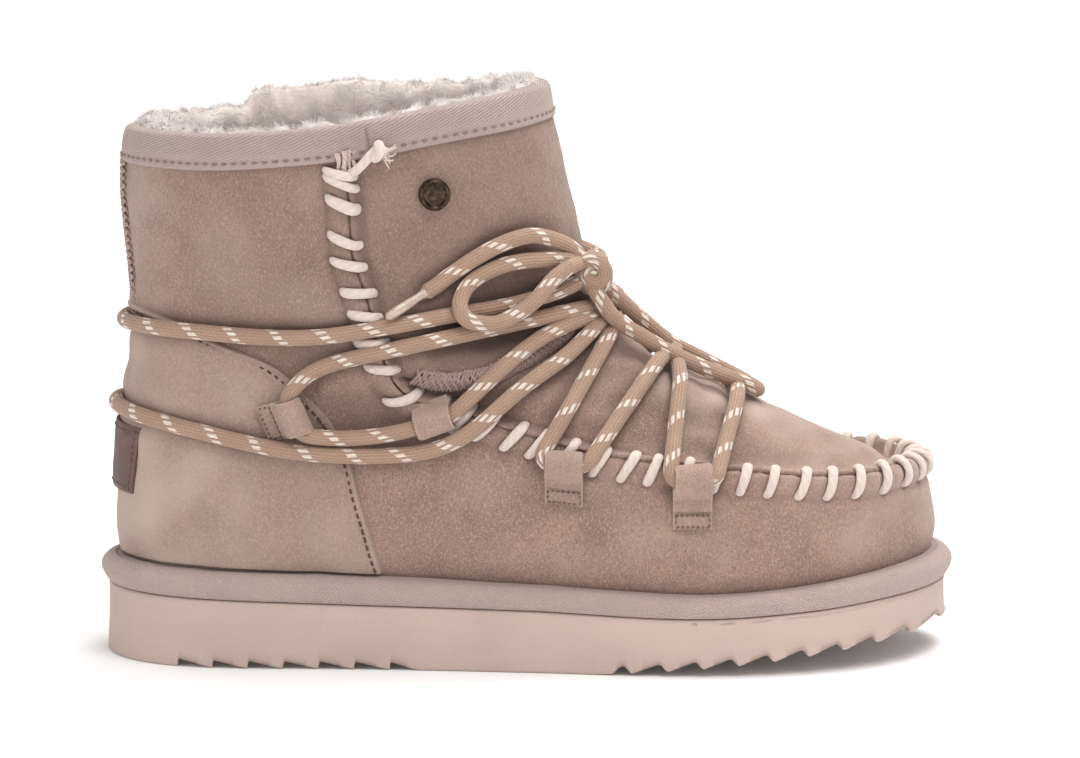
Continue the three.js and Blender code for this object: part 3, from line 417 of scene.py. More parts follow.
# The upper's layers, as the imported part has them: rear and front point, height at five places, half widths, plan radii, bend. Millimetres.
LAYERS = np.array([
    (-128.8, 129.8, 31.8, 30.0, 27.6, 25.9, 32.6, 31.2, 32.6, 43.8, 28, 35, 1.0),
    (-130.0, 131.2, 42.0, 39.5, 36.5, 34.0, 39.0, 34.2, 36.0, 46.2, 29, 36, 0.98),
    (-129.8, 130.2, 58.0, 54.0, 49.0, 45.0, 47.0, 36.2, 38.0, 46.0, 29, 35, 0.92),
    (-128.6, 128.6, 76.0, 71.5, 63.0, 55.0, 54.0, 36.9, 38.7, 43.4, 28, 33, 0.80),
    (-126.8, 126.6, 92.0, 87.0, 75.5, 63.4, 60.2, 37.2, 38.6, 39.6, 27, 30, 0.70),
    (-126.2, 117.5, 101.0, 97.0, 85.0, 68.5, 60.6, 37.6, 38.4, 33.0, 26, 24, 0.55),
    (-126.2, 102.0, 109.0, 105.5, 94.0, 77.5, 67.4, 38.2, 38.4, 28.5, 25, 20, 0.42),
    (-126.6, 83.0, 117.0, 114.0, 102.5, 87.5, 75.2, 38.8, 38.6, 27.0, 25, 18, 0.30),
    (-127.2, 61.0, 125.0, 122.0, 111.0, 97.5, 84.6, 39.4, 39.0, 27.0, 25, 17, 0.20),
    (-128.0, 40.0, 133.0, 130.0, 120.0, 108.5, 94.0, 40.0, 39.8, 28.5, 25.5, 18, 0.12),
    (-128.7, 25.0, 140.5, 138.0, 130.0, 120.5, 106.5, 40.8, 41.0, 31.5, 26, 21, 0.06),
    (-129.1, 18.4, 147.0, 145.0, 140.0, 133.5, 122.0, 41.4, 42.6, 34.5, 26.5, 24, 0.03),
    (-129.1, 15.0, 153.0, 151.8, 149.5, 147.5, 140.0, 41.8, 44.0, 37.0, 27, 27, 0.01),
    (-128.8, 11.2, 160.0, 159.6, 160.0, 162.0, 160.0, 42.0, 45.2, 39.0, 27.5, 29, 0.0),
    (-127.6, 6.9, 166.9, 167.1, 169.8, 175.9, 180.8, 42.0, 45.8, 40.2, 28, 30, 0.0),
])
LINING = LAYERS.copy()
LINING[4] = 0.5 * LAYERS[4] + 0.25 * (LAYERS[3] + LAYERS[5])
FOOT_CURVE = np.array([0, -1.0, -5.5, -1.0, 6.5])
COLLAR = 14.0
RAD = math.pi / 180


def cat(P, u):
    """Catmull-Rom through the rows of P at u."""
    P = np.asarray(P, float)
    u = np.clip(np.asarray(u, float), 0, len(P) - 1)
    i = np.minimum(u.astype(int), len(P) - 2)
    f = (u - i)[(...,) + (None,) * (P.ndim - 1)]
    e = np.concatenate([[2 * P[0] - P[1]], P, [2 * P[-1] - P[-2]]])
    a, b, c, d = e[i], e[i + 1], e[i + 2], e[i + 3]
    return 0.5 * (2 * b + (c - a) * f + (2 * a - 5 * b + 4 * c - d) * f**2 + (3 * b - a - 3 * c + d) * f**3)


def catp(V, u):
    """The same, where each point has its own row of values."""
    n = V.shape[-1]
    u = np.clip(u, 0, n - 1)
    i = np.minimum(u.astype(int), n - 2)
    f = u - i
    e = np.concatenate([2 * V[..., :1] - V[..., 1:2], V, 2 * V[..., -1:] - V[..., -2:-1]], -1)
    a, b, c, d = (np.take_along_axis(e, (i + j)[..., None], -1)[..., 0] for j in range(4))
    return 0.5 * (2 * b + (c - a) * f + (2 * a - 5 * b + 4 * c - d) * f**2 + (3 * b - a - 3 * c + d) * f**3)


def surface(phi, t, table=LAYERS):
    """A point of the upper's outer face. phi in degrees from the back, t along the layers."""
    phi, t = np.broadcast_arrays(np.asarray(phi, float), np.asarray(t, float))
    r = cat(table, t)
    a = phi * RAD
    xi = (1 - np.cos(a)) / 2
    u = xi * 4
    length = r[..., 1] - r[..., 0]
    full = catp(np.stack([np.sqrt(r[..., 10] * length / 2), r[..., 7] / 0.8660254, r[..., 8], r[..., 9] / 0.8660254, np.sqrt(r[..., 11] * length / 2)], -1), u)
    return np.stack([r[..., 0] + length * xi, cat(FOOT_CURVE, u) * r[..., 12] - full * np.sin(a), catp(r[..., 2:7], u)], -1)


def unit(v):
    return v / np.maximum(np.linalg.norm(v, axis=-1, keepdims=True), 1e-12)


def normal(phi, t, table=LAYERS, dp=2.0, dt=0.15):
    phi, t = np.broadcast_arrays(np.asarray(phi, float), np.asarray(t, float))
    a = surface(phi + dp, t, table) - surface(phi - dp, t, table)
    b = surface(phi, np.clip(t + dt, 0, COLLAR), table) - surface(phi, np.clip(t - dt, 0, COLLAR), table)
    return unit(np.cross(a, b))


def lifted(phi, t, lift):
    return surface(phi, t) + normal(phi, t) * np.asarray(lift, float)[..., None]


def walk(phi, t, dirs, mm, step=2.0):
    """Goes mm over the upper from each point, in the direction nearest to dirs."""
    phi, t, mm = (np.array(x, float) for x in np.broadcast_arrays(phi, t, mm))
    dirs = np.broadcast_to(np.asarray(dirs, float), phi.shape + (3,))
    n = max(1, int(math.ceil(float(np.abs(mm).max()) / step)))
    d, e = mm / n, 1e-2
    for _ in range(n):
        p = surface(phi, t)
        a = (surface(phi + e, t) - p) / e
        tt = np.clip(t, 0, COLLAR - 1e-3)
        b = (surface(phi, tt + 1e-3) - surface(phi, tt)) / 1e-3
        nn = unit(np.cross(a, b))
        v = unit(dirs - nn * (dirs * nn).sum(-1, keepdims=True))
        aa, ab, bb, va, vb = (a * a).sum(-1), (a * b).sum(-1), (b * b).sum(-1), (v * a).sum(-1), (v * b).sum(-1)
        det = aa * bb - ab * ab
        phi = phi + d * (va * bb - vb * ab) / det
        t = t + d * (vb * aa - va * ab) / det
    return phi, t


# the moccasin seam on the outer side, collar to toe
SEAM_UP = np.array([(92.6, 14), (92.4, 13.42), (91.4, 12.28), (90.8, 11.34), (85.5, 9.11), (79.5, 7.85), (75.0, 6.89), (73.2, 6.06), (72.1, 5.20), (72.4, 4.67), (74.0, 4.34)])
SEAM_ROUND = np.array([(74.0, 4.34), (77.4, 4.33), (80.8, 4.27), (85.5, 4.12), (91, 3.98), (98, 3.82), (106, 3.85), (114, 3.95), (124, 3.95), (135, 3.86), (148.4, 3.92), (160.8, 4.22), (172, 4.33), (180, 4.34)])


def seam_up_phi(t):
    o = np.argsort(SEAM_UP[:, 1])
    T, P = SEAM_UP[o, 1], SEAM_UP[o, 0]
    return hermite(T, P, t)


def seam_round_t(phi):
    """Layer of the seam for any angle, both sides; behind its corner it stays level."""
    f = np.abs((np.asarray(phi, float) + 180) % 360 - 180)
    return np.where(f < 74.0, 4.34, hermite(SEAM_ROUND[:, 0], SEAM_ROUND[:, 1], f))


def hermite(X, Y, x):
    """A smooth curve through points with rising X."""
    X, Y, x = np.asarray(X, float), np.asarray(Y, float), np.asarray(x, float)
    m = np.gradient(Y, X)
    s = np.diff(Y) / np.diff(X)
    m[0], m[-1] = s[0], s[-1]
    flat = np.concatenate([[False], s[:-1] * s[1:] <= 0, [False]])
    m[flat] = 0
    x = np.clip(x, X[0], X[-1])
    i = np.clip(np.searchsorted(X, x, side="right") - 1, 0, len(X) - 2)
    h = X[i + 1] - X[i]
    q = (x - X[i]) / h
    return (2 * q**3 - 3 * q**2 + 1) * Y[i] + (q**3 - 2 * q**2 + q) * h * m[i] + (3 * q**2 - 2 * q**3) * Y[i + 1] + (q**3 - q**2) * h * m[i + 1]


def seam_line():
    """Dense points of the whole seam, outer collar to toe to inner collar: angle, layer and run length."""
    t = np.linspace(14, 4.34, 400)
    up = np.stack([seam_up_phi(t), t], 1)
    phi = np.linspace(74.0, 180, 900)
    ro = np.stack([phi, seam_round_t(phi)], 1)
    half = np.concatenate([up[:-1], ro])
    # ease the corner between the two runs
    k = np.ones(25) / 25
    pad = np.concatenate([np.repeat(half[:1], 12, 0), half, np.stack([360 - half[-2:-14:-1, 0], half[-2:-14:-1, 1]], 1)])
    half = np.stack([np.convolve(pad[:, j], k, "valid") for j in (0, 1)], 1)
    half[0] = (92.6, 14)
    full = np.concatenate([half, np.stack([360 - half[-2::-1, 0], half[-2::-1, 1]], 1)])
    p = surface(full[:, 0], full[:, 1])
    s = np.concatenate([[0], np.cumsum(np.linalg.norm(np.diff(p, axis=0), axis=1))])
    m = np.linspace(0, s[-1], 1600)
    return np.interp(m, s, full[:, 0]), np.interp(m, s, full[:, 1]), m

# ------------------------------------------------------------------ meshes
def metres(p):
    """Foot millimetres to metres in the shared frame; the shaft leans a little more forward at the back and in at the top of the front."""
    p = np.array(p, float)
    x, z = p[..., 0].copy(), p[..., 2].copy()
    p[..., 0] += 1.4 * np.clip((-55 - x) / 55, 0, 1) * np.clip((z - 66) / 34, 0, 1) - 1.4 * np.clip((x + 5) / 16, 0, 1) * np.clip((z - 142) / 34, 0, 1)
    # and the collar's edge stands a little higher over the open seam
    p[..., 2] += np.exp(-((x + 72) / 36) ** 2) * np.clip((z - 141.5) / 6.5, 0, 1) * (1.0 + 1.3 * (1 - np.clip((z - 149) / 12, 0, 1)))
    return (p + OFF) * 1e-3


def build(name, verts, quads=None, tris=None, mat=None, uv=None, attrs=None, smooth=True, body="root"):
    """A mesh object from arrays of vertices (foot millimetres) and faces. uv is per vertex, or per corner."""
    v = metres(verts)
    me = bpy.data.meshes.new(name)
    me.vertices.add(len(v))
    me.vertices.foreach_set("co", v.astype(np.float32).ravel())
    loops, starts, totals, at = [], [], [], 0
    for f, k in ((quads, 4), (tris, 3)):
        if f is None or len(f) == 0:
            continue
        f = np.asarray(f, np.int32)
        loops.append(f.ravel())
        starts.append(at + np.arange(len(f)) * k)
        totals.append(np.full(len(f), k))
        at += f.size
    loops, starts, totals = np.concatenate(loops), np.concatenate(starts), np.concatenate(totals)
    me.loops.add(len(loops))
    me.loops.foreach_set("vertex_index", loops.astype(np.int32))
    me.polygons.add(len(starts))
    me.polygons.foreach_set("loop_start", starts.astype(np.int32))
    me.polygons.foreach_set("loop_total", totals.astype(np.int32))
    me.polygons.foreach_set("use_smooth", np.full(len(starts), smooth))
    if uv is not None:
        uv = np.asarray(uv, np.float32)
        layer = me.uv_layers.new(name="UVMap")
        layer.data.foreach_set("uv", (uv[loops] if len(uv) == len(v) else uv).ravel())
    for key, values in (attrs or {}).items():
        a = me.attributes.new(key, "FLOAT", "POINT")
        a.data.foreach_set("value", np.asarray(values, np.float32).ravel())
    me.update(calc_edges=True)
    me.validate()
    o = bpy.data.objects.new(name, me)
    bpy.context.scene.collection.objects.link(o)
    if mat is not None:
        me.materials.append(mat)
    if body:
        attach(o, body)
    return o


def grid(rows, cols, base=0, closed=False, flip=False):
    j, i = np.meshgrid(np.arange(rows - 1), np.arange(cols if closed else cols - 1), indexing="ij")
    a, b = j * cols + i, j * cols + (i + 1) % cols
    q = np.stack([a, b, b + cols, a + cols], -1).reshape(-1, 4) + base
    return q[:, ::-1] if flip else q


class Gather:
    """Several grids and fans as one mesh."""

    def __init__(self):
        self.v, self.q, self.t, self.uv, self.a, self.n = [], [], [], [], {}, 0

    def grid(self, p, closed=False, flip=False, uv=None, **attrs):
        rows, cols = p.shape[:2]
        self.v.append(p.reshape(-1, 3))
        self.q.append(grid(rows, cols, self.n, closed, flip))
        self.uv.append(np.zeros((rows * cols, 2)) if uv is None else np.asarray(uv, float).reshape(-1, 2))
        for k in set(attrs) | set(self.a):
            have = self.a.setdefault(k, [np.zeros(self.n)] if self.n else [])
            value = attrs.get(k)
            have.append(np.zeros(rows * cols) if value is None else np.broadcast_to(value, (rows, cols)).ravel())
        self.n += rows * cols
        return self.n - rows * cols

    def fan(self, ring, point, flip=False):
        """Closes a ring of vertex numbers with one more point."""
        self.v.append(np.asarray(point, float).reshape(1, 3))
        self.uv.append(np.zeros((1, 2)))
        for k in self.a:
            self.a[k].append(np.zeros(1))
        ring = np.asarray(ring)
        t = np.stack([ring, np.roll(ring, -1), np.full(len(ring), self.n)], 1)
        self.t.append(t[:, ::-1] if flip else t)
        self.n += 1

    def make(self, name, mat, **kw):
        return build(name, np.concatenate(self.v), np.concatenate(self.q) if self.q else None, np.concatenate(self.t) if self.t else None,
                     mat, np.concatenate(self.uv), {k: np.concatenate(v) for k, v in self.a.items()}, **kw)


def resample(p, step):
    p = np.asarray(p, float)
    s = np.concatenate([[0], np.cumsum(np.linalg.norm(np.diff(p, axis=0), axis=1))])
    n = max(2, int(round(s[-1] / step)) + 1)
    m = np.linspace(0, s[-1], n)
    return np.stack([np.interp(m, s, p[:, k]) for k in range(3)], 1), m


def frames(p, up=None):
    """Tangents and a pair of cross vectors carried along a path without twist."""
    t = unit(np.gradient(p, axis=0))
    n = np.zeros_like(p)
    ref = np.array(up if up is not None else (0, 0, 1.0))
    if abs(ref @ t[0]) > 0.9:
        ref = np.array((1.0, 0, 0))
    n[0] = unit(ref - t[0] * (ref @ t[0]))
    for i in range(1, len(p)):
        v = n[i - 1] - t[i] * (n[i - 1] @ t[i])
        n[i] = v / max(np.linalg.norm(v), 1e-9)
    return t, n, np.cross(t, n)


def tube(g, p, radius, sides=12, caps=True, step=None, squash=None, twist=0.0, u0=0.0, **attrs):
    """A round tube along a path. radius may vary along it."""
    if step:
        p, s = resample(p, step)
    else:
        p = np.asarray(p, float)
        s = np.concatenate([[0], np.cumsum(np.linalg.norm(np.diff(p, axis=0), axis=1))])
    t, n, b = frames(p)
    a = np.linspace(0, 2 * np.pi, sides + 1)[None, :] + (twist * s)[:, None]
    r = np.broadcast_to(radius(s / s[-1]) if callable(radius) else np.asarray(radius, float), (len(p),))[:, None, None]
    ring = p[:, None] + r * (np.cos(a)[..., None] * n[:, None] + np.sin(a)[..., None] * b[:, None])
    uv = np.stack(np.broadcast_arrays((s + u0)[:, None], np.linspace(0, 1, sides + 1)[None]), -1)
    k = g.grid(ring, uv=uv, flip=True, **attrs)
    if caps:
        c = sides + 1
        for row, tip_, f in ((0, p[0], True), (len(p) - 1, p[-1], False)):
            rr = r[row, 0, 0]
            out = (-t[0] if row == 0 else t[-1])
            inner = g.grid(np.stack([ring[row], tip_ + out * rr * 0.55 + (ring[row] - tip_) * 0.72, np.repeat((tip_ + out * rr * 0.8)[None], c, 0) + (ring[row] - tip_) * 0.05]), uv=np.repeat(uv[row][None], 3, 0), flip=(row != 0), **attrs)
    return k


def smooth3(p, wave, seed, n=14):
    """A smooth field of waves about that many millimetres long, from -1 to 1."""
    r = np.random.default_rng(seed)
    out = 0
    for _ in range(n):
        k = unit(r.normal(size=3)) * (2 * np.pi / (wave * r.uniform(0.7, 1.5)))
        out = out + np.sin(p @ k + r.uniform(0, 2 * np.pi))
    return out / math.sqrt(n * 0.5) * 0.6


def nearest(points, tree_points):
    """Distance from each point to the nearest of tree_points, and which it is."""
    tree = KDTree(len(tree_points))
    for i, q in enumerate(tree_points):
        tree.insert(q, i)
    tree.balance()
    flat = points.reshape(-1, 3)
    d, k = np.empty(len(flat)), np.empty(len(flat), int)
    for i, q in enumerate(flat):
        _, k[i], d[i] = tree.find(q)
    return d.reshape(points.shape[:-1]), k.reshape(points.shape[:-1])


# ------------------------------------------------------------------ the lace's routes, as in the part's source
LACE_R = 2.5
L = LACE_R + 1.3
COUNTER, COUNTER_GAP = 1.3, 0.55
K_HOLE = LACE_R + 0.75
K_OUT = K_HOLE + 1.1
KEEPERS = [  # angle, layer, the lace's direction, the tail's direction, tail length, seat
    (55.5, 3.53, (-0.4, 0, 0.9), (-0.95, 0, -0.29), 6.5, COUNTER_GAP + COUNTER + 0.35),
    (77.0, 3.92, (0.94, 0, 0.34), (-0.3, 0, 0.95), 2.4, 0.45),
    (95.1, 3.4, (1, 0, -0.1), (0, 0, -1), 8.5, 0.45),
    (113.5, 3.42, (1, 0, 0), (0, 0, -1), 10, 0.45),
]


def through(k, side, w):
    phi, t, lace, _, _, seat = KEEPERS[k - 1]
    a, b = walk(np.array([phi if side < 0 else 360 - phi]), np.array([t]), np.array([[lace[0], lace[1] * -side, lace[2]]]), float(w), 1.0)
    return [float(a[0]), float(b[0]), seat + K_OUT]


def pas(k, side, *w):
    return [through(k, side, d) for d in w]


def flip(rows):
    return [[360 - p, t, l] for p, t, l in rows]


UP_3_REAR = [[93.3, 4.3, L + 1], [99.2, 5.38, L], [113.1, 7.18, L], [142.4, 9.08, L]]
UP_4_REAR = [[112.6, 4.7, L + 1], [121, 6.2, L], [135, 7.25, L], [154, 8.29, L]]
UP_2 = [[82.5, 4.75, L + 0.6], [85.6, 5.24, L], [92.4, 6.24, L], [113.9, 8.22, L], [144.6, 9.68, L]]
UP_3_FRONT = [[101.5, 4.3, L + 1], [112.9, 6.17, L], [142.4, 8.2, L], [168.2, 8.84, L + 1]]
UP_4_FRONT = [[118.8, 4.2, L + 0.8], [124.3, 5.38, L], [152, 7.39, L]]
RUN = [*pas(2, -1, 6, 0, -6), [70.6, 3.4, L + 0.6], [64.9, 3.26, L], [61, 3.14, L + 2], *pas(1, -1, -6, 0, 6),
       [55.6, 4.5, L + 1.4], [58, 4.85, L], [61.1, 5.09, L], [71.4, 5.93, L], [88.9, 7.22, L], [127.1, 9.35, L], [158.1, 10.14, L + 1]]
WRAP_UPPER = [
    [218, 10.0, L + 0.4], [245, 9.0, L], [258.9, 8.58, L], [284.7, 7.01, L], [296.6, 6.21, L], [310, 5.86, L], [317, 5.82, L + 0.7], [324, 5.82, L + 1.35], [340, 5.78, L + 1.4], [360, 5.7, L + 1.4],
    [380, 5.78, L + 1.4], [396, 5.82, L + 1.35], [403, 5.82, L + 0.7], [410, 5.86, L], [423.4, 6.21, L], [435.3, 7.01, L], [461.1, 8.58, L], [487.5, 9.8, L], [507, 10.5, L],
]
WRAP_LOWER = [
    [164.5, 9.98, L + 1], [133, 8.83, L], [100.5, 6.5, L], [90, 5.2, L], [85.5, 4.45, L + 1], [82.5, 3.82, L + 2], [78.6, 3.34, L + 2], [72.6, 3.05, L], [66, 2.92, L + 0.4], [60.5, 2.86, L + 2],
    [57.5, 2.88, L + 2.2], [48.9, 2.91, L + 2.2], [39.3, 3.04, L + 1.7], [27.2, 3.14, L + 1.2], [14, 3.2, L + 1.2], [0, 3.22, L + 1.2], [-14, 3.2, L + 1.2], [-27.2, 3.14, L + 1.2], [-39.3, 3.04, L + 1.7], [-48.9, 2.91, L + 2.2],
    [-57.5, 2.88, L + 2.2], [-60.5, 2.86, L + 2], [-66, 2.92, L + 0.4], [-72.6, 3.05, L], [-78.6, 3.34, L + 2], [-82.5, 3.82, L + 2], [-85.5, 4.45, L + 1], [-90, 5.2, L], [-100.5, 6.5, L], [-133, 8.9, L], [-160, 10.4, L], [-176, 10.75, L],
]
S_, F_ = -1, 1
STRETCHES = [
    [*pas(4, S_, -6, 0, 6), *UP_4_FRONT, [180, 7.95, L + 0.4], *flip([*pas(4, S_, -6, 0, 6), *UP_4_FRONT])[::-1]],
    [*pas(4, S_, 6, 0, -6), *UP_4_REAR, [180, 8.85, L + 4.6], *flip([*pas(3, S_, -6, 0, 6), *UP_3_FRONT])[::-1]],
    [*pas(3, S_, -6, 0, 6), *UP_3_FRONT, [180, 8.85, L], *flip([*pas(4, S_, 6, 0, -6), *UP_4_REAR])[::-1]],
    [*pas(3, S_, 6, 0, -6), *UP_3_REAR, [170, 9.75, L + 1.5], [180, 9.85, L + 4.6], *flip([*pas(2, S_, -6, 0, 6), *UP_2])[::-1]],
    [*pas(2, S_, -6, 0, 6), *UP_2, [180, 9.9, L], *flip([*pas(3, S_, 6, 0, -6), *UP_3_REAR])[::-1]],
    [*RUN, [185, 10.2, L + 4.6], *WRAP_UPPER],
    [*flip(RUN), *WRAP_LOWER],
]
BOW = {
    "lace_bow_rear": [[151.9, 11.12, 7.5], [147.1, 11.13, 6.5], [140.5, 11.07, 5.6], [133.6, 10.95, 4.8], [126.6, 10.72, 4.4], [118.9, 10.3, 4.6], [111.4, 9.72, 6.2], [100.2, 8.57, 8.4], [96.2, 7.89, 9.2], [99.8, 7.89, 9.2], [119.3, 9.27, 9.2], [131.8, 10, 9.2], [141.3, 10.71, 9.5], [147, 10.97, 10.2]],
    "lace_end_outer": [[154.7, 11.23, 8], [152, 11.43, 6.6], [146.4, 11.54, 5.4], [139.3, 11.56, 4.6], [130.2, 11.3, 4], [121.1, 10.83, 3.6], [111.6, 10.17, 3.4], [103.9, 9.57, 3.3], [101.1, 9.38, 3.3]],
    "lace_end_inner": [[163, 11.22, 7.5], [172, 11.14, 6.2], [188, 11.14, 5.3], [208, 11.16, 4.4], [225, 11.1, 3.9], [238.9, 10.78, 3.6], [248.4, 10.17, 3.4], [256.1, 9.57, 3.3], [258.9, 9.38, 3.3]],
}
BOW_FRONT = [
    [19.4, -22.5, 121.1], [22.8, -23.0, 115.8], [26.3, -20.5, 110.2], [30.5, -17.5, 106.3], [35.6, -15.0, 103.0], [43.6, -12.5, 97.9], [53.2, -11.0, 93.1],
    [63.4, -9.5, 88.8], [69.2, -8.0, 86.6], [72.6, -5.5, 84.4], [73.9, -2.6, 83.5], [72.3, 0.0, 84.4], [67.9, 1.5, 86.8], [61.6, 1.9, 90.0],
    [53.6, 0.9, 94.2], [45.5, -1.5, 98.7], [39.0, -4.0, 104.3], [33.2, -7.0, 109.8], [28.4, -10.0, 114.7], [24.9, -12.5, 118.2],
]
KNOT = (20.9, -18.6, 123.4, 7.0, 6.6, 8.4)
AGLETS = {"lace_end_outer": ("aglet_outer", (79.6, 7.55, 9.4)), "lace_end_inner": ("aglet_inner", (280.4, 7.55, 9.4))}


def centripetal(P, per=12):
    """Centripetal Catmull-Rom through points, with a mirrored point past each end."""
    P = np.asarray(P, float)
    E = np.concatenate([[2 * P[0] - P[1]], P, [2 * P[-1] - P[-2]]])
    out = []
    for i in range(1, len(E) - 2):
        p = E[i - 1:i + 3]
        d = np.maximum(np.linalg.norm(np.diff(p, axis=0), axis=1) ** 0.5, 1e-4)
        t = np.concatenate([[0], np.cumsum(d)])
        x = np.linspace(t[1], t[2], per, endpoint=False)[:, None]
        a1 = (t[1] - x) / (t[1] - t[0]) * p[0] + (x - t[0]) / (t[1] - t[0]) * p[1]
        a2 = (t[2] - x) / (t[2] - t[1]) * p[1] + (x - t[1]) / (t[2] - t[1]) * p[2]
        a3 = (t[3] - x) / (t[3] - t[2]) * p[2] + (x - t[2]) / (t[3] - t[2]) * p[3]
        b1 = (t[2] - x) / (t[2] - t[0]) * a1 + (x - t[0]) / (t[2] - t[0]) * a2
        b2 = (t[3] - x) / (t[3] - t[1]) * a2 + (x - t[1]) / (t[3] - t[1]) * a3
        out.append((t[2] - x) / (t[2] - t[1]) * b1 + (x - t[1]) / (t[2] - t[1]) * b2)
    return np.concatenate(out + [P[-1:]])


def route(rows):
    q = centripetal(np.array(rows, float) * (0.7, 9, 1)) / (0.7, 9, 1)
    return lifted(q[:, 0], np.clip(q[:, 1], 0.2, COLLAR), q[:, 2])


def ease(p, rounds=2):
    """Takes the small kinks out of a path, its ends kept."""
    for _ in range(rounds):
        q = p.copy()
        q[1:-1] = 0.25 * p[:-2] + 0.5 * p[1:-1] + 0.25 * p[2:]
        p = q
    return p


_f, _t = np.meshgrid(np.linspace(0, 360, 320, endpoint=False), np.linspace(0, 14, 180), indexing="ij")
SKIN_P, SKIN_N = surface(_f, _t).reshape(-1, 3), normal(_f, _t).reshape(-1, 3)
_f, _t = _f.ravel(), _t.ravel()
SKIN_TREE = KDTree(len(SKIN_P))
for _i, _q in enumerate(SKIN_P):
    SKIN_TREE.insert(_q, _i)
SKIN_TREE.balance()
C_FRONT = np.array([(0.12, 69.3), (1.33, 67.7), (2.22, 65.9), (2.77, 64.6), (3.41, 61.4), (3.95, 57.1)])
C_TOP = np.array([(0, 6.5), (15, 6.35), (30.5, 6.01), (41.1, 5.4), (50.3, 4.87), (57.1, 3.95)])


def over_skin(p):
    k = np.array([SKIN_TREE.find(q)[1] for q in p])
    return k, ((p - SKIN_P[k]) * SKIN_N[k]).sum(-1)


def settle(p, taut):
    """Draws a lace taut between its keepers, along the boot and never into it."""
    n = len(p)
    hold = np.zeros(n, bool)
    hold[[0, 1, -2, -1]] = True
    for k in (1, 2, 3, 4):
        for side in (-1, 1):
            q = through(k, side, 0)
            c = lifted(np.array(q[0]), np.array(q[1]), np.array(q[2]))
            hold |= np.linalg.norm(p - c, axis=1) < (8.0 if taut else 6.5)
    at_ = np.arange(n)
    free = np.minimum.reduce([np.abs(at_[:, None] - np.where(hold)[0][None])]).min(1)
    start = p.copy()
    k0, up0 = over_skin(p)
    phi, t = _f[k0], _t[k0]
    fold = np.minimum(phi, 360 - phi)
    front = np.clip((fold - 128) / 20, 0, 1)
    need = 3.0 + (np.clip(up0, 3.0, 9.0) - 3.0) * 0.55 * front
    on_counter = (t < np.interp(fold, C_TOP[:, 0], C_TOP[:, 1])) & (fold < 57)
    rear = np.clip((50 - fold) / 14, 0, 1)
    rest = np.where(on_counter, 3.75, 2.7)
    for _ in range(6):
        rest[1:-1] = 0.25 * rest[:-2] + 0.5 * rest[1:-1] + 0.25 * rest[2:]
    for stride in (12, 8, 5, 3, 2, 1) if taut else (2, 1, 1):
        for _ in range(9):
            kk = np.minimum(stride, np.maximum(free, 1))
            q = 0.5 * p + 0.25 * (p[np.clip(at_ - kk, 0, n - 1)] + p[np.clip(at_ + kk, 0, n - 1)])
            p = np.where(hold[:, None], start, q)
            k, up = over_skin(p)
            push = np.where(hold, 0, np.maximum(need * (1 - rear) + rest * rear - up, 0))
            pull = np.where(hold, 0, np.minimum(rest + 0.05 - up, 0) * rear * 0.6)
            p = p + SKIN_N[k] * (push + pull)[:, None]
    return ease(p, 3)


LACES = [settle(resample(route(r), 1.5)[0], i < 4) for i, r in enumerate(STRETCHES)]
FREE = {k: ease(resample(route(r), 1.2)[0], 4) for k, r in BOW.items()}
FREE["lace_bow_front"] = ease(resample(centripetal(BOW_FRONT), 1.2)[0], 4)


def length_of(p):
    return float(np.linalg.norm(np.diff(p, axis=0), axis=1).sum())


# the cords come first: the lace, the bow's loops and the two ends
g = Gather()
at = 0.0
for p in LACES:
    tube(g, p, LACE_R, 18, caps=False, step=1.3, u0=at)
    at += length_of(p)
lace = g.make("lace_run", CORD)
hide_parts("lace")

cx, cy, cz = KNOT[:3]
C0 = np.array((cx, cy, cz))
KNOT_WRAP = centripetal([(cx - 4.6, cy + 0.5, cz + 0.6), (cx - 2.8, cy - 1.6, cz + 2.6), (cx + 0.2, cy - 2.4, cz + 3.5), (cx + 2.8, cy - 2.2, cz + 2.3), (cx + 3.8, cy - 1.6, cz - 0.6),
                         (cx + 3.3, cy - 0.8, cz - 3.4), (cx + 1.0, cy + 0.4, cz - 5.2), (cx - 1.8, cy + 1.0, cz - 5.0), (cx - 3.8, cy + 1.8, cz - 3.4)])
loop_end = FREE["lace_bow_rear"][-1]
loop_way = unit(loop_end - FREE["lace_bow_rear"][-8])
KNOT_FRONT = centripetal([loop_end - 4 * loop_way, loop_end - 0.5 * loop_way, (cx - 4.0, cy - 5.6, cz + 3.9), (cx - 0.9, cy - 6.4, cz + 5.2), (cx + 2.0, cy - 6.4, cz + 4.0), (cx + 3.3, cy - 6.0, cz + 1.0),
                          (cx + 2.2, cy - 5.6, cz - 1.7), (cx - 0.6, cy - 5.4, cz - 2.2), (cx - 2.2, cy - 4.9, cz - 0.6), (cx - 1.2, cy - 4.8, cz + 1.3), (cx + 0.6, cy - 4.4, cz + 0.9), (cx + 0.9, cy - 2.0, cz + 0.3)])
KNOT_BACK = centripetal([(cx - 5.5, cy + 1.5, cz + 2.0), (cx - 2.5, cy + 4.0, cz + 2.8), (cx + 1.5, cy + 5.0, cz + 0.8), (cx + 3.0, cy + 4.6, cz - 2.5), (cx + 3.6, cy + 5.0, cz - 5.0)])
KNOT_DROP = centripetal([(cx - 4.6, cy - 0.5, cz + 1.5), (cx - 3.6, cy - 3.2, cz + 0.2), tuple(FREE["lace_bow_front"][0]), tuple(FREE["lace_bow_front"][3])])
g = Gather()
for p in (KNOT_WRAP, KNOT_FRONT, KNOT_BACK, KNOT_DROP):
    tube(g, ease(p, 3), LACE_R * 0.98, 18, step=0.9, u0=11.0)
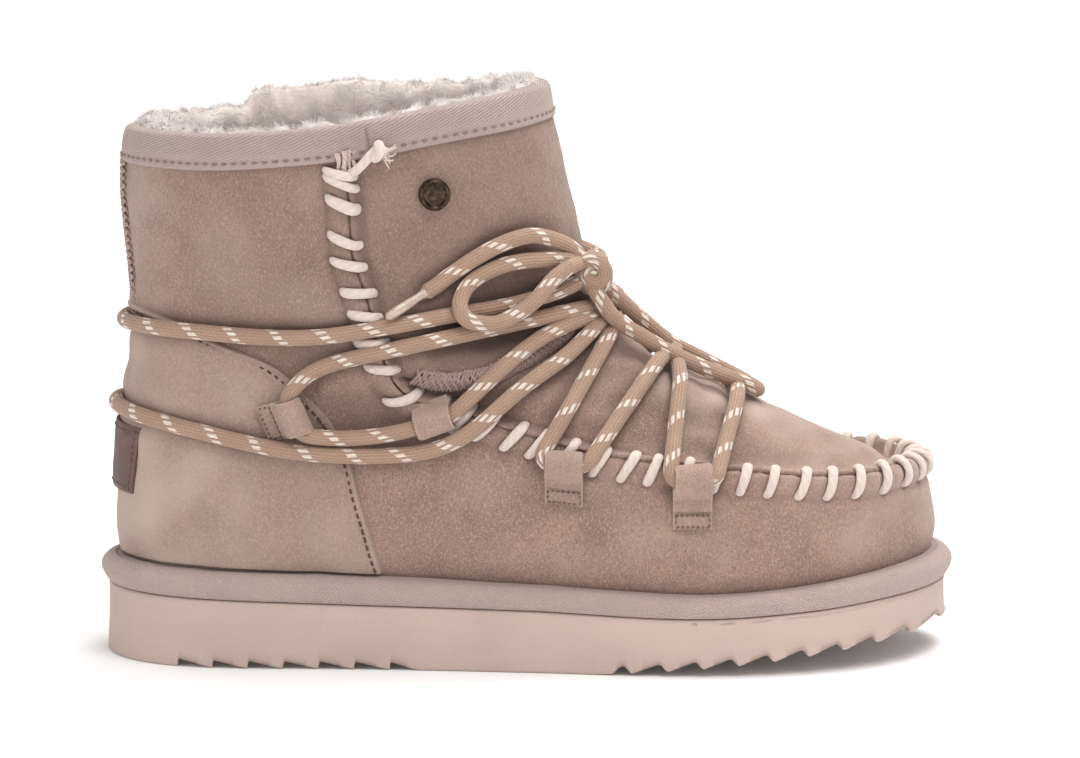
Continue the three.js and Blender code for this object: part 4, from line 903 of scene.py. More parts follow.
ends = [(LACES[5][-1], LACES[5][-5]), (LACES[6][-1], LACES[6][-5]), (FREE["lace_bow_rear"][0], FREE["lace_bow_rear"][4]), (FREE["lace_end_outer"][0], FREE["lace_end_outer"][4]),
        (FREE["lace_end_inner"][0], FREE["lace_end_inner"][4]), (FREE["lace_bow_front"][0], FREE["lace_bow_front"][4]), (FREE["lace_bow_front"][-1], FREE["lace_bow_front"][-5])]
for e, back in ends:
    way = unit(e - back)
    goal = C0 + unit(e - C0) * 1.5
    gap = np.linalg.norm(goal - e)
    if gap < 26:
        tube(g, ease(centripetal([e - way * 1.2, e + way * min(3.0, 0.3 * gap), 0.45 * (e + way * 3.0) + 0.55 * goal, goal], 6), 2), LACE_R * 0.97, 18, step=0.9, u0=3.0)
knot = g.make("knot", CORD)
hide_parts("lace_knot")

for name, p in FREE.items():
    g = Gather()
    tube(g, p, LACE_R, 18, step=1.1, u0=RNG.uniform(0, 20))
    o = g.make(name + "_cord", CORD)
    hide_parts(name)
    if name in AGLETS:
        tip_name, towards = AGLETS[name]
        end = p[-1]
        d = unit(lifted(np.array(towards[0]), np.array(towards[1]), np.array(towards[2])) - end)
        # a crimped clear sleeve, slightly waisted, over the cord's tapered end
        k = np.linspace(0, 1, 40)
        prof = hermite([0, 0.04, 0.1, 0.5, 0.9, 0.97, 1], [2.15, 2.15, 1.7, 1.5, 1.4, 1.2, 0.5], k)
        g = Gather()
        line = end + d * (k[:, None] * 17.4 - 0.3)
        tube(g, line, lambda s, prof=prof, k=k: np.interp(s, k, prof), 20)
        a = g.make(tip_name + "_sleeve", TIP)
        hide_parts(tip_name)
    metres(p[0])
    metres(p)

# ------------------------------------------------------------------ the seam and what it does to the skin
SP, ST, SS = seam_line()
SEAM = surface(SP, ST)
SEAM_N = normal(SP, ST)
SEAM_T = unit(np.gradient(SEAM, axis=0))
SEAM_A = unit(np.cross(SEAM_N, SEAM_T))  # across the seam, towards the apron
TOTAL = SS[-1]
NEAR = [  # each whipstitch: run along the seam at its lower and at its upper end
    (12.3, 15.4), (14.2, 20.0), (21.5, 25.6), (31.1, 36.2), (38.6, 44.0), (48.2, 52.6), (56.0, 59.8), (64.6, 68.8), (72.8, 77.9), (82.7, 90.0), (93.6, 99.2),
    (102.2, 107.6), (110.0, 115.6), (119.5, 125.0), (127.7, 132.4), (137.6, 142.0), (147.6, 152.2), (156.4, 161.6), (164.8, 168.6), (174.6, 178.4), (185.6, 188.4),
    (193.7, 196.9), (202.5, 205.5), (212.1, 215.7), (221.3, 224.6), (230.9, 234.0), (241.1, 243.8), (251.0, 252.6), (260.4, 261.0), (269.4, 269.2),
]
STITCHES = NEAR + [(TOTAL - a + j, TOTAL - b + k) for (a, b), j, k in zip(NEAR[::-1], RNG.uniform(-0.8, 0.8, 40), RNG.uniform(-0.8, 0.8, 40)) if a > 20]
ST_LO, ST_UP = np.array(STITCHES).T
RIM = 2.5
LOW_HOLE = 6.1


def slant(lo, up, d):
    """Run along the seam of a whipstitch at d from it."""
    return lo + (up - lo) * np.clip((8.0 - d) / 11.5, 0, 1)


def step01(x):
    x = np.clip(x, 0, 1)
    return x * x * (3 - 2 * x)


def level_run(s):
    """0 on the seam's upright run, 1 round the toe."""
    return step01((np.minimum(s, TOTAL - s) - 66) / 26)


def seam_height(d, s):
    """Rise of the skin d millimetres from the seam: above 0 on the wall's side, below 0 on the apron's."""
    k = level_run(s)
    H = RIM * (1 - 0.10 * k) * step01((np.minimum(s, TOTAL - s) - 10.5) / 6.0)
    x = np.maximum(d, 0)
    w = H * hermite([0, 0.3, 0.9, 2.0, 3.8, 5.2, 6.4], [0.45, 0.84, 1.0, 0.99, 0.80, 0.42, 0.0], x) - 0.35 * np.exp(-((x - 6.9) / 0.9) ** 2)
    x = np.maximum(-d, 0)
    up = H * hermite([0, 0.3, 0.9, 1.7, 2.6, 3.6], [0.45, 0.84, 1.0, 0.84, 0.25, 0.0], x) - 0.75 * np.exp(-((x - 4.0) / 1.5) ** 2)
    lv = H * hermite([0, 0.3, 0.8, 1.4, 2.3, 3.2], [0.45, 0.84, 1.0, 0.82, 0.25, 0.0], x) - 2.4 * step01((x - 1.2) / 2.6) * (1 - step01((x - 5.0) / 10))
    h = np.where(d >= 0, w, up * (1 - k) + lv * k)
    near = np.abs(d) < 10
    dd, sn = d[near], s[near]
    cut = np.zeros(len(dd))
    for lo, up_ in zip(ST_LO, ST_UP):
        k1 = float(level_run(np.array(lo)))
        e = sn - slant(lo, up_, dd)
        m = np.abs(e) < 6
        span = np.clip((dd[m] + 3.2) / 1.6, 0, 1) * np.clip((6.8 - dd[m]) / 1.5, 0, 1)
        cut[m] = np.maximum(cut[m], (1.05 + 0.35 * k1) * span * np.exp(-(np.abs(e[m]) / 2.3) ** 2.4) + 1.1 * np.exp(-(e[m] ** 2 + (dd[m] - LOW_HOLE) ** 2) / 1.7) + 0.5 * np.exp(-(e[m] ** 2 + (dd[m] + 2.8) ** 2) / 1.5))
    h = h.copy()
    h[near] -= cut * step01((np.minimum(sn, TOTAL - sn) - 9) / 3)
    return h


ALL_LACE = np.concatenate([resample(p, 1.0)[0] for p in LACES] + [FREE["lace_end_outer"], FREE["lace_end_inner"], FREE["lace_bow_rear"]])
LACE_TREE = KDTree(len(ALL_LACE))
for i, q in enumerate(ALL_LACE):
    LACE_TREE.insert(q, i)
LACE_TREE.balance()

CREASES = [  # points on the skin (angle, layer), depth in millimetres (below 0 is a ridge), half width, on both sides or not
    ([(59.1, 3.9), (63.5, 3.62), (68.1, 3.7), (72.7, 4.1)], 2.3, 6.5, True),
    ([(58.5, 4.55), (62.0, 4.62), (66.0, 4.7), (70.1, 4.5)], -1.5, 6.5, True),
    ([(79.5, 6.0), (85.0, 6.62), (95.1, 7.35), (113.1, 8.60), (140.5, 9.9), (160, 10.6)], 2.8, 7.5, True),
    ([(88.0, 8.3), (98, 9.1), (112, 10.0), (128, 10.75)], -1.0, 8.0, True),
    ([(112, 9.6), (126, 10.1), (140, 10.45), (150, 10.7)], 1.4, 5.0, True),
    ([(49, 5.6), (55, 5.2), (60, 5.0), (66, 5.3)], 1.2, 6.0, True),
    ([(70, 6.6), (68, 7.8), (66, 9.2)], -0.7, 8.0, True),
    ([(58, 7.0), (55, 8.6), (54, 10.4)], 0.6, 7.0, True),
    ([(40, 7.4), (39, 9.0), (40, 10.8)], -0.5, 8.0, False),
    ([(24, 7.4), (23, 9.4), (25, 11.6)], 0.45, 8.0, True),
    ([(100, 5.3), (108, 5.9), (118, 6.5)], 0.9, 4.0, True),
    ([(112, 5.2), (120, 5.8), (130, 6.3), (142, 6.6)], 0.8, 4.0, True),
    ([(100, 6.2), (112, 7.0), (126, 7.7), (140, 8.1)], 0.9, 4.5, True),
    ([(84, 3.1), (92, 2.5), (102, 2.1), (112, 2.0)], 0.7, 6.0, True),
    ([(76, 2.3), (84, 1.9), (92, 1.2)], -0.6, 6.0, True),
    ([(118, 2.6), (128, 2.2), (140, 2.2)], 0.5, 6.0, True),
    ([(145, 2.8), (158, 2.9), (170, 2.7)], -0.5, 6.0, True),
]
HOLLOWS = [  # places that the laces and folds keep in shade: angle, layer, half width in millimetres, strength
    (66, 3.85, 10, 0.55), (72, 4.2, 8, 0.35), (88, 6.7, 12, 0.50), (100, 7.6, 12, 0.55), (113, 8.5, 12, 0.60), (128, 9.4, 12, 0.65), (145, 10.2, 13, 0.6), (122, 10.6, 14, 0.35), (138, 11.1, 12, 0.35),
    (104, 9.4, 10, 0.35), (57, 5.4, 9, 0.30), (90, 5.5, 10, 0.35), (100, 6.3, 9, 0.30), (118, 7.4, 10, 0.25), (150, 8.8, 12, 0.3), (80, 5.6, 8, 0.35),
]


def crease_field(p, side=None):
    out = np.zeros(p.shape[:-1])
    for rows, depth, width, both in CREASES:
        for m in ((False, True) if both else (False,)):
            r = np.array(rows, float)
            if m:
                r[:, 0] = 360 - r[:, 0]
            q = centripetal(r * (0.7, 9)) / (0.7, 9)
            line = surface(q[:, 0], np.clip(q[:, 1], 0, COLLAR))
            s = np.linspace(0, 1, len(line))
            lo, hi = line.min(0) - 3 * width, line.max(0) + 3 * width
            inside = ((p > lo) & (p < hi)).all(-1)
            if not inside.any():
                continue
            d2 = ((p[inside][:, None] - line[None]) ** 2).sum(-1)
            k = d2.argmin(1)
            fade = np.clip(np.minimum(s[k], 1 - s[k]) / 0.22, 0, 1)
            fade = fade * fade * (3 - 2 * fade)
            out[inside] -= depth * fade * np.exp(-d2[np.arange(len(k)), k] / width**2)
    return out


def hollow_shade(p):
    out = np.zeros(p.shape[:-1])
    for phi, t, wide_, k in HOLLOWS:
        for f in (phi, 360 - phi):
            c = surface(np.array(float(f)), np.array(float(t)))
            out = np.maximum(out, k * np.exp(-((p - c) ** 2).sum(-1) / wide_**2))
    return out


def relief(p, n, h):
    """Adds the skin's own unevenness to a lift, and presses it in under the lace. Also returns how close the lace lies."""
    h = h + 0.38 * smooth3(p, 42, 1) + 0.20 * smooth3(p, 17, 2) + 0.07 * smooth3(p, 6, 3) + crease_field(p)
    flat, fn, fh = p.reshape(-1, 3), n.reshape(-1, 3), h.reshape(-1).copy()
    close = np.zeros(len(flat))
    reach = LACE_R + 0.12
    for i in range(len(flat)):
        q, _, d = LACE_TREE.find(flat[i])
        if d > 13:
            continue
        v0, v1, v2 = flat[i][0] - q[0], flat[i][1] - q[1], flat[i][2] - q[2]
        a, b, c = fn[i]
        up = v0 * a + v1 * b + v2 * c
        if up > -1 or up < -7.5:
            continue
        across = math.sqrt(max(d * d - up * up, 0.0))
        touch = math.exp(-max(0.0, -up - 3.8) / 1.4)
        x = across / 8.0
        fh[i] += touch * 0.75 * (math.exp(-((x - 0.85) / 0.5) ** 2) - 0.9 * math.exp(-(across / 3.0) ** 2))
        if across < reach:
            fh[i] = min(fh[i], -up - math.sqrt(reach * reach - across * across))
        close[i] = touch * math.exp(-(across / 3.6) ** 2)
    return fh.reshape(h.shape), close.reshape(h.shape)


def skin(phi, t, side, base=0.0, table=LAYERS):
    p, n = surface(phi, t, table), normal(phi, t, table)
    d, k = nearest(p, SEAM)
    h = seam_height(side * d, SS[k]) + base
    h, close = relief(p, n, h)
    kk = level_run(SS[k])
    # painted shade in the valley beside the ridge, in the slit, under the laces and in the hollows; the ridge's crest
    # gets a painted highlight that takes from it
    valley = np.exp(-((d - 7.0) / 1.3) ** 2) * 0.22 if side > 0 else np.exp(-((d - 3.4) / 1.6) ** 2) * 0.55
    slit = np.exp(-(d / 0.42) ** 2) * (0.9 - 0.5 * kk) * np.clip(0.75 + 0.6 * smooth3(p, 5, 91), 0.3, 1)
    crest_highlight = np.exp(-((d - 0.95) / 0.35) ** 2)
    shade = np.clip(0.6 * close + valley + slit - 0.3 * crest_highlight + 0.75 * hollow_shade(p), 0, 1)
    return p + n * h[..., None], shade, d


def wear_field(p):
    """Where the nap is rubbed pale: round the heel, the toe and the outer edges."""
    x, z = p[..., 0], p[..., 2]
    y = p[..., 1]
    toe = np.clip((x - 58) / 55, 0, 1) * np.clip((z - 36) / 25, 0, 1) * 0.50
    vamp = np.clip((x - 34) / 40, 0, 1) * np.clip((z - 66) / 20, 0, 1) * np.clip((138 - z) / 20, 0, 1) * 1.12
    heel = np.clip((-84 - x) / 34, 0, 1) * np.clip((96 - z) / 40, 0, 1) * 0.62
    back = np.clip((-112 - x) / 14, 0, 1) * 0.3
    patch = np.clip(smooth3(p, 30, 21) * 0.7 - 0.12, 0, 1) * 0.5
    # painted shade under the bow and knot: the toe's paleness is held back there
    under_bow_shade = np.exp(-((x - 20) ** 2 + (z - 100) ** 2) / 30.0**2)
    toe = toe * (1 - under_bow_shade)
    return np.clip(np.maximum(toe, vamp) * (0.75 + 0.5 * smooth3(p, 16, 22)) + np.maximum(heel, back) * (0.75 + 0.5 * smooth3(p, 20, 23)) + patch * 0.5, 0, 1)


def quads_of(idx):
    return np.stack([idx[:-1, :-1], idx[:-1, 1:], idx[1:, 1:], idx[1:, :-1]], -1).reshape(-1, 4)


# ------------------------------------------------------------------ the quarters and the wall below the seam
COARSE = 1.0
NA, NB = int(160 / COARSE), int(245 / COARSE)


def even(a, b, n, f):
    """n + 1 values from a to b, evenly spaced along a curve f."""
    x = np.linspace(a, b, 600)
    q = f(x)
    s = np.concatenate([[0], np.cumsum(np.linalg.norm(np.diff(q, axis=0), axis=1))])
    return np.interp(np.linspace(0, s[-1], n + 1), s, x)


half = np.concatenate([even(0, 74, NA, lambda x: surface(x, np.full(len(x), 4.34)))[:-1], even(74, 180, NB, lambda x: surface(x, seam_round_t(x)))])
ring = np.concatenate([half, 360 - half[-2:0:-1]])
top = seam_round_t(ring)
rows_b = int(54 / COARSE)
v = np.linspace(0, 1, rows_b + 1)
v = v + 0.06 * np.sin(2 * np.pi * v)
phi_b, t_b = np.broadcast_to(ring, (len(v), len(ring))), v[:, None] * top[None]
pb, shade_b, _ = skin(phi_b, t_b, +1)
skirt = pb[:1] + np.array((0, 0, -1.3)) - normal(phi_b[:1], t_b[:1]) * 0.5
rows_a = int(108 / COARSE)
t_rows = even(4.34, 14, rows_a, lambda x: surface(np.full(len(x), 45.0), x))
cols_a = np.concatenate([-half[NA:0:-1], half[:NA + 1]])
phi_a = (cols_a[None] / 74.0) * seam_up_phi(t_rows)[:, None]
pa, shade_a, _ = skin(phi_a, np.broadcast_to(t_rows[:, None], phi_a.shape), +1)
nr = len(ring)
verts = np.concatenate([skirt.reshape(-1, 3), pb.reshape(-1, 3), pa[1:].reshape(-1, 3)])
shade = np.concatenate([np.full(nr, 0.9), np.clip(shade_b + 0.4 * np.exp(-(pb[..., 2] - pb[:1, :, 2]) / 0.8), 0, 1).ravel(), shade_a[1:].ravel()])
idx_b = np.arange((len(v) + 1) * nr).reshape(len(v) + 1, nr)
idx_b = np.concatenate([idx_b, idx_b[:, :1]], 1)
idx_a = np.empty(phi_a.shape, int)
top_row = idx_b[-1, :-1]
idx_a[0] = np.concatenate([top_row[nr - NA:], top_row[:NA + 1]])
idx_a[1:] = (len(v) + 1) * nr + np.arange((len(t_rows) - 1) * phi_a.shape[1]).reshape(len(t_rows) - 1, -1)
shade = np.clip(shade + 0.30 * np.clip((verts[:, 2] - 100) / 12, 0, 1) * np.clip((verts[:, 0] + 118) / 16, 0, 1), 0, 1)
quarter = build("upper_quarter_and_wall", verts, np.concatenate([quads_of(idx_b), quads_of(idx_a)]), None, SUEDE, attrs={"shade": shade, "wear": wear_field(verts)})
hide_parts("upper")

# ------------------------------------------------------------------ the apron over the toe, up to the front panel's edge
EDGE = np.array([(74.0, 5.10), (78.3, 5.05), (86.0, 5.50), (98.7, 6.73), (112, 7.82), (127.8, 8.78), (142, 9.5), (156.9, 9.97), (170, 10.25), (180, 10.3)])


def edge_t(phi):
    f = np.abs((np.asarray(phi, float) + 180) % 360 - 180)
    return hermite(EDGE[:, 0], EDGE[:, 1], f)


nc = int(470 / COARSE)
h1 = even(74, 180, nc // 2, lambda x: surface(x, 0.6 * seam_round_t(x) + 0.4 * edge_t(x)))
phi0 = np.concatenate([h1, 360 - h1[-2::-1]])
vv = np.linspace(0, 1, int(118 / COARSE) + 1)
vv = vv**1.08
lo, hi = seam_round_t(phi0), edge_t(phi0) + 0.28
t_ap = lo[None] + (hi - lo)[None] * vv[:, None]
f = (180 - seam_up_phi(4.34 + 0.78 * vv)) / 106.0
phi_ap = 180 + (phi0[None] - 180) * f[:, None]
sink = -0.55 * np.clip((t_ap - edge_t(phi0)[None] + 0.10) / 0.2, 0, 1)
p_ap, shade_ap, _ = skin(phi_ap, t_ap, -1, base=sink)
near_edge = np.clip(1 - (edge_t(phi0)[None] - t_ap) / 0.22, 0, 1) ** 2
apron = build("upper_apron", p_ap.reshape(-1, 3), grid(*p_ap.shape[:2]), None, SUEDE,
              attrs={"shade": np.clip(shade_ap + 0.7 * near_edge, 0, 1).ravel(), "wear": wear_field(p_ap).ravel()})
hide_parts("upper")

# ------------------------------------------------------------------ the front panel, from the instep edge to the collar
nu, nv = int(236 / COARSE), int(112 / COARSE)
uu = np.linspace(0, 1, nu + 1)
bp = even(74.0, 180, 400, lambda x: surface(x, edge_t(x)))
bottom_phi = np.interp(uu, np.linspace(0, 1, 801), np.concatenate([bp, 360 - bp[-2::-1]]))
bottom_t = edge_t(bottom_phi)
tp = even(92.6, 180, 400, lambda x: surface(x, np.full(len(x), 14.0)))
top_phi = np.interp(uu, np.linspace(0, 1, 801), np.concatenate([tp, 360 - tp[-2::-1]]))
vl = np.linspace(0, 1, nv + 1)[:, None]
left_t = 5.10 + (14 - 5.10) * vl
left_phi = seam_up_phi(left_t)
U = uu[None]
phi_f = (1 - vl) * bottom_phi[None] + vl * top_phi[None] + (1 - U) * left_phi + U * (360 - left_phi) - ((1 - vl) * ((1 - U) * bottom_phi[0] + U * bottom_phi[-1]) + vl * ((1 - U) * top_phi[0] + U * top_phi[-1]))
t_f = (1 - vl) * bottom_t[None] + vl * 14.0 + (1 - U) * left_t + U * left_t - ((1 - vl) * 5.10 + vl * 14.0)
t_f = np.clip(t_f, 0, COLLAR)
pf0 = surface(phi_f, t_f)
up_edge = np.linalg.norm(pf0 - pf0[:1], axis=-1)
proud = 1.35 * np.exp(-(up_edge / 16.0) ** 2) + 0.25 * np.exp(-(up_edge / 60.0) ** 2)
roll = -1.3 * np.exp(-(up_edge / 0.55) ** 2)
seam_side = np.minimum(np.linalg.norm(pf0 - pf0[:, :1], axis=-1), np.linalg.norm(pf0 - pf0[:, -1:], axis=-1))
proud = proud * np.clip(seam_side / 4.0, 0, 1)
p_f, shade_f, d_f = skin(phi_f, t_f, -1, base=proud + roll)
front = build("upper_front_panel", p_f.reshape(-1, 3), grid(*p_f.shape[:2]), None, SUEDE,
              attrs={"shade": np.clip(shade_f * np.where(t_f > 5.5, 0.9, 1) + 0.40, 0, 1).ravel(), "wear": (wear_field(p_f) * 0.6).ravel()})
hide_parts("upper")


# ------------------------------------------------------------------ points in seam coordinates
def on_seam(s, d, lift):
    """A point at run s along the seam, d to the wall's side, lifted off the bare skin."""
    s, d, lift = np.broadcast_arrays(*(np.atleast_1d(np.asarray(x, float)) for x in (s, d, lift)))
    phi, t = np.interp(s, SS, SP), np.interp(s, SS, ST)
    a = np.stack([np.interp(s, SS, SEAM_A[:, k]) for k in range(3)], 1)
    ph, tt = walk(phi, t, -a * np.where(d < 0, -1.0, 1.0)[:, None], np.abs(d), 0.7)
    return surface(ph, tt) + normal(ph, np.clip(tt, 0, COLLAR)) * lift[:, None]


g = Gather()
for i, (lo_, up_) in enumerate(STITCHES):
    j = RNG.uniform(-0.25, 0.25, 5)
    k = float(level_run(np.array(lo_)))
    #            below the hole, out of it, up the band, over the rim, down to the apron, into its hole
    d = np.array([6.5, 6.1, 5.5, 4.3, 2.8, 1.3, 0.1, -1.0, -1.9, -2.7, -3.2])
    H = RIM * (1 - 0.10 * k)
    lift = np.array([-1.7, -0.1, 1.05, 1.95, 2.6, H + 0.42, H + 0.5, H + 0.25, 0.60 * H + 0.1 - 0.3 * k, 0.5 - 1.5 * k, -1.6 - 1.8 * k]) + 0.2 * j[0]
    s = slant(lo_, up_, d) + j[1] * np.sin(np.linspace(0, np.pi, len(d)))
    if d.min() > -9:
        p = ease(centripetal(on_seam(s, d, lift), 6), 2)
        q, m = resample(p, 0.7)
        t0, n0, b0_ = frames(q)
        # soft yarn, flattened where it lies on the band
        along_ = np.array([np.interp(s.mean(), SS, SEAM_T[:, c]) for c in range(3)])
        wide_ = unit(along_ - t0 * (t0 @ along_)[:, None])
        flat = np.cross(wide_, t0)
        x = m / m[-1]
        r_ = (1.52 + 0.14 * j[2]) * (1 + 0.05 * np.sin(8 * x + 40 * j[3]) - 0.14 * np.abs(2 * x - 1) ** 6)
        ang = np.linspace(0, 2 * np.pi, 13)
        ring_ = q[:, None] + r_[:, None, None] * (0.80 * np.cos(ang)[None, :, None] * flat[:, None] + 1.04 * np.sin(ang)[None, :, None] * wide_[:, None])
        g.grid(ring_, uv=np.stack(np.broadcast_arrays((m + 7.0 * i)[:, None], np.linspace(0, 1, 13)[None]), -1), flip=False)
# the knotted, frayed end at the top of the seam
END = [(92.0, 12.62, -1.0), (94.0, 12.72, 2.4), (96.3, 12.95, 3.4), (98.7, 13.2, 3.9), (101.0, 13.38, 4.2), (102.6, 13.30, 4.4)]
ep_ = np.array(END)
path_ = lifted(ep_[:, 0], ep_[:, 1], ep_[:, 2])
tube(g, ease(centripetal(path_, 6), 2), lambda x: 1.55 - 0.15 * x, 12, step=0.7, u0=3.0)
base = lifted(np.array(100.6), np.array(13.32), np.array(4.2))
nn, tt_ = normal(np.array(100.6), np.array(13.3)), unit(path_[-1] - path_[-2])
aa = np.cross(nn, tt_)
ball = centripetal([base + 1.8 * aa - 1.2 * nn, base + 2.0 * aa + 1.2 * nn, base + 0.7 * tt_ + 2.1 * nn, base - 2.0 * aa + 0.9 * nn, base - 1.8 * aa - 1.4 * nn])
tube(g, ball, 1.6, 10, step=0.6)
for k in range(11):
    w = 0.42 + 0.22 * RNG.random()
    d0 = tt_ * RNG.uniform(0.5, 1.1) + aa * RNG.uniform(-0.8, 0.8) + nn * RNG.uniform(-0.2, 0.5)
    e = base + tt_ * 0.8
    tube(g, centripetal([e, e + d0 * 1.8, e + d0 * 3.3 + aa * RNG.uniform(-0.8, 0.8), e + d0 * 4.4 + aa * RNG.uniform(-1.4, 1.4) - nn * 0.3], 5), lambda x, w=w: w * (1 - 0.6 * x), 7, step=0.7)
yarn = g.make("whipstitches", YARN)
# torn ends of the panels' edges between the tape and the first stitch
for side_ in (-1, 1):
    g = Gather()
    for k, (f0, f1, t0_, t1_, lf) in enumerate(((90.6, 90.2, 13.32, 12.62, 1.5), (92.3, 91.6, 13.38, 12.50, 2.3), (93.6, 93.1, 13.40, 12.72, 1.8), (94.8, 94.2, 13.36, 12.80, 1.3))):
        q = np.linspace(0, 1, 12)
        ff, tt__ = f0 + (f1 - f0) * q + 0.25 * np.sin(5 * q + k), t0_ + (t1_ - t0_) * q
        w = 0.62 * (1 - 0.5 * q**3)
        rows_ = []
        for e_ in (-1, -0.4, 0.4, 1):
            fe = ff + e_ * w * (1 + 0.2 * np.sin(9 * q + 2 * k))
            rows_.append(lifted(fe if side_ < 0 else 360 - fe, tt__, lf + 0.35 * (1 - abs(e_)) + 0.4 * np.sin(4 * q + k)))
        g.grid(np.array(rows_), flip=side_ > 0)
    torn = g.make("torn_edges_" + ("outer" if side_ < 0 else "inner"), YARN_GREY)

# ------------------------------------------------------------------ heel counter
def counter_point(s, v):
    s, v = np.broadcast_arrays(np.asarray(s, float), np.asarray(v, float))
    out = []
    for key in ("phi", "t"):
        fc, tc = (C_FRONT[:, 1], C_TOP[:, 0]) if key == "phi" else (C_FRONT[:, 0], C_TOP[:, 1])
        base, corner, seam = fc[0], tc[-1], tc[0]
        bb = 0.0 if key == "phi" else base
        back, bottom = bb + (seam - bb) * v, bb + (base - bb) * s
        out.append((1 - s) * back + s * cat(fc, v * 5) + (1 - v) * bottom + v * cat(tc, s * 5)
                   - ((1 - s) * (1 - v) * bb + s * (1 - v) * base + (1 - s) * v * seam + s * v * corner))
    return out


n_s, n_v = int(150 / COARSE), int(84 / COARSE)
us = np.linspace(-1, 1, 2 * n_s + 1)
vs = np.linspace(0, 1, n_v + 1)
cphi, ct = counter_point(np.abs(us)[None], vs[:, None])
cphi = np.where(us[None] > 0, 360 - cphi, cphi)
cphi = np.where(us[None] == 0, 0.0, cphi)
ct = np.clip(ct, 0, COLLAR)
c0, cn = surface(cphi, ct), normal(cphi, ct)
# distance to the two free edges
front_d = np.minimum(np.linalg.norm(c0 - c0[:, :1], axis=-1), np.linalg.norm(c0 - c0[:, -1:], axis=-1))
top_d = np.linalg.norm(c0 - c0[-1:], axis=-1)
ed = np.minimum(front_d, top_d)
lift = COUNTER_GAP + COUNTER - 0.1 - 1.75 * np.exp(-(ed / 0.55) ** 2) - 0.22 * np.exp(-((ed - 2.0) / 0.7) ** 2)
lift, close = relief(c0, cn, lift)
pc = c0 + cn * lift[..., None]
cshade = 0.5 * close + 0.15 * np.exp(-(pc[..., 2] - pc[:1, :, 2]) / 0.8) + 0.45 * np.exp(-(ed / 0.3) ** 2)
counter = build("heel_counter_panel", pc.reshape(-1, 3), grid(*pc.shape[:2], flip=True), None, SUEDE,
                attrs={"shade": np.clip(cshade, 0, 1).ravel(), "wear": np.clip(wear_field(pc) + 0.24 + 0.35 * np.exp(-((ed - 0.7) / 0.5) ** 2), 0, 1).ravel()})
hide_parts("heel_counter")


def dashes(g, line_p, line_n, pitch, long, r, sink=0.25, start=0.0, bow=0.25):
    """Short stitches laid along a line of points with their normals."""
    s = np.concatenate([[0], np.cumsum(np.linalg.norm(np.diff(line_p, axis=0), axis=1))])
    a = start
    while a + long < s[-1]:
        m = np.linspace(a, a + long, 6)
        p = np.stack([np.interp(m, s, line_p[:, k]) for k in range(3)], 1)
        n = unit(np.stack([np.interp(m, s, line_n[:, k]) for k in range(3)], 1))
        k = np.linspace(0, 1, 6)
        p = p + n * (r - sink - 2.2 * r * (2 * k - 1)[:, None] ** 6 + bow * r * np.sin(np.pi * k)[:, None])
        tube(g, p, r, 6)
        a += pitch


def interp_line(cphi_, ct_, lift_):
    return surface(cphi_, ct_) + normal(cphi_, ct_) * lift_, normal(cphi_, ct_)


g = Gather()
for m in (False, True):
    # up the front edge, then along the top to the back seam, two millimetres inside the edge
    vv_ = np.linspace(0.02, 1, 160)
    a_phi, a_t = counter_point(np.full(160, 1.0), vv_)
    b_phi, b_t = counter_point(np.linspace(1, 0.0, 160), np.full(160, 1.0))
    phi_e, t_e = np.concatenate([a_phi, b_phi[1:]]), np.concatenate([a_t, b_t[1:]])
    e = surface(phi_e, t_e)
    tan = unit(np.gradient(e, axis=0))
    inward = unit(np.cross(tan, normal(phi_e, t_e)))
    mid = surface(np.array([25.0]), np.array([2.5]))[0]
    inward *= np.sign(((mid - e) * inward).sum(-1, keepdims=True))
    phi_i, t_i = walk(phi_e, t_e, inward, 2.0, 0.7)
    if m:
        phi_i = 360 - phi_i
    p, n = interp_line(phi_i, np.clip(t_i, 0, COLLAR), 1.45)
    dashes(g, ease(p, 2), n, 2.75, 1.6, 0.36, 0.06)
stitch = g.make("counter_stitches", STITCH_DARK)

# ------------------------------------------------------------------ heel label, a plain bare patch
n_s, n_v = 90, 44
us, vs = np.linspace(-1, 1, n_s + 1), np.linspace(0, 1, n_v + 1)
lp = us[None] * (18.5 + 2.5 * vs[:, None])
lt = np.broadcast_to(1.72 + 1.2 * vs[:, None], lp.shape)
l0, ln = surface(lp, lt), normal(lp, lt)
base = COUNTER_GAP + COUNTER - 0.15 + 0.35 * vs[:, None]
le = np.minimum(np.minimum(np.linalg.norm(l0 - l0[:, :1], axis=-1), np.linalg.norm(l0 - l0[:, -1:], axis=-1)), np.minimum(np.linalg.norm(l0 - l0[:1], axis=-1), np.linalg.norm(l0 - l0[-1:], axis=-1)))
top_l = base + 1.15 - 0.25 * np.exp(-(le / 0.5) ** 2) - 0.16 * np.exp(-((le - 1.9) / 0.35) ** 2) + 0.10 * smooth3(l0, 9, 31)
g = Gather()
outer = l0 + ln * top_l[..., None]
inner = l0 + ln * (base - 0.25)[..., None]
wearl = np.clip(0.30 * np.exp(-(le / 0.45) ** 2) + 0.35 * np.clip(smooth3(l0, 7, 33), 0, 1), 0, 1)
g.grid(outer, wear=wearl)
g.grid(np.stack([inner[0], outer[0]]), wear=0.0)
g.grid(np.stack([outer[-1], inner[-1]]), wear=0.0)
g.grid(np.stack([outer[:, 0], inner[:, 0]]), wear=0.0)
g.grid(np.stack([inner[:, -1], outer[:, -1]]), wear=0.0)
label = g.make("heel_patch", HIDE)
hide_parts("heel_label")
g = Gather()
for k in (4, n_v - 4):
    dashes(g, outer[k], ln[k], 2.3, 1.5, 0.26, 0.1)
for k in (4, n_s - 4):
    dashes(g, outer[:, k], ln[:, k], 2.3, 1.5, 0.26, 0.1, start=0.8)
ls = g.make("heel_patch_stitches", STITCH)

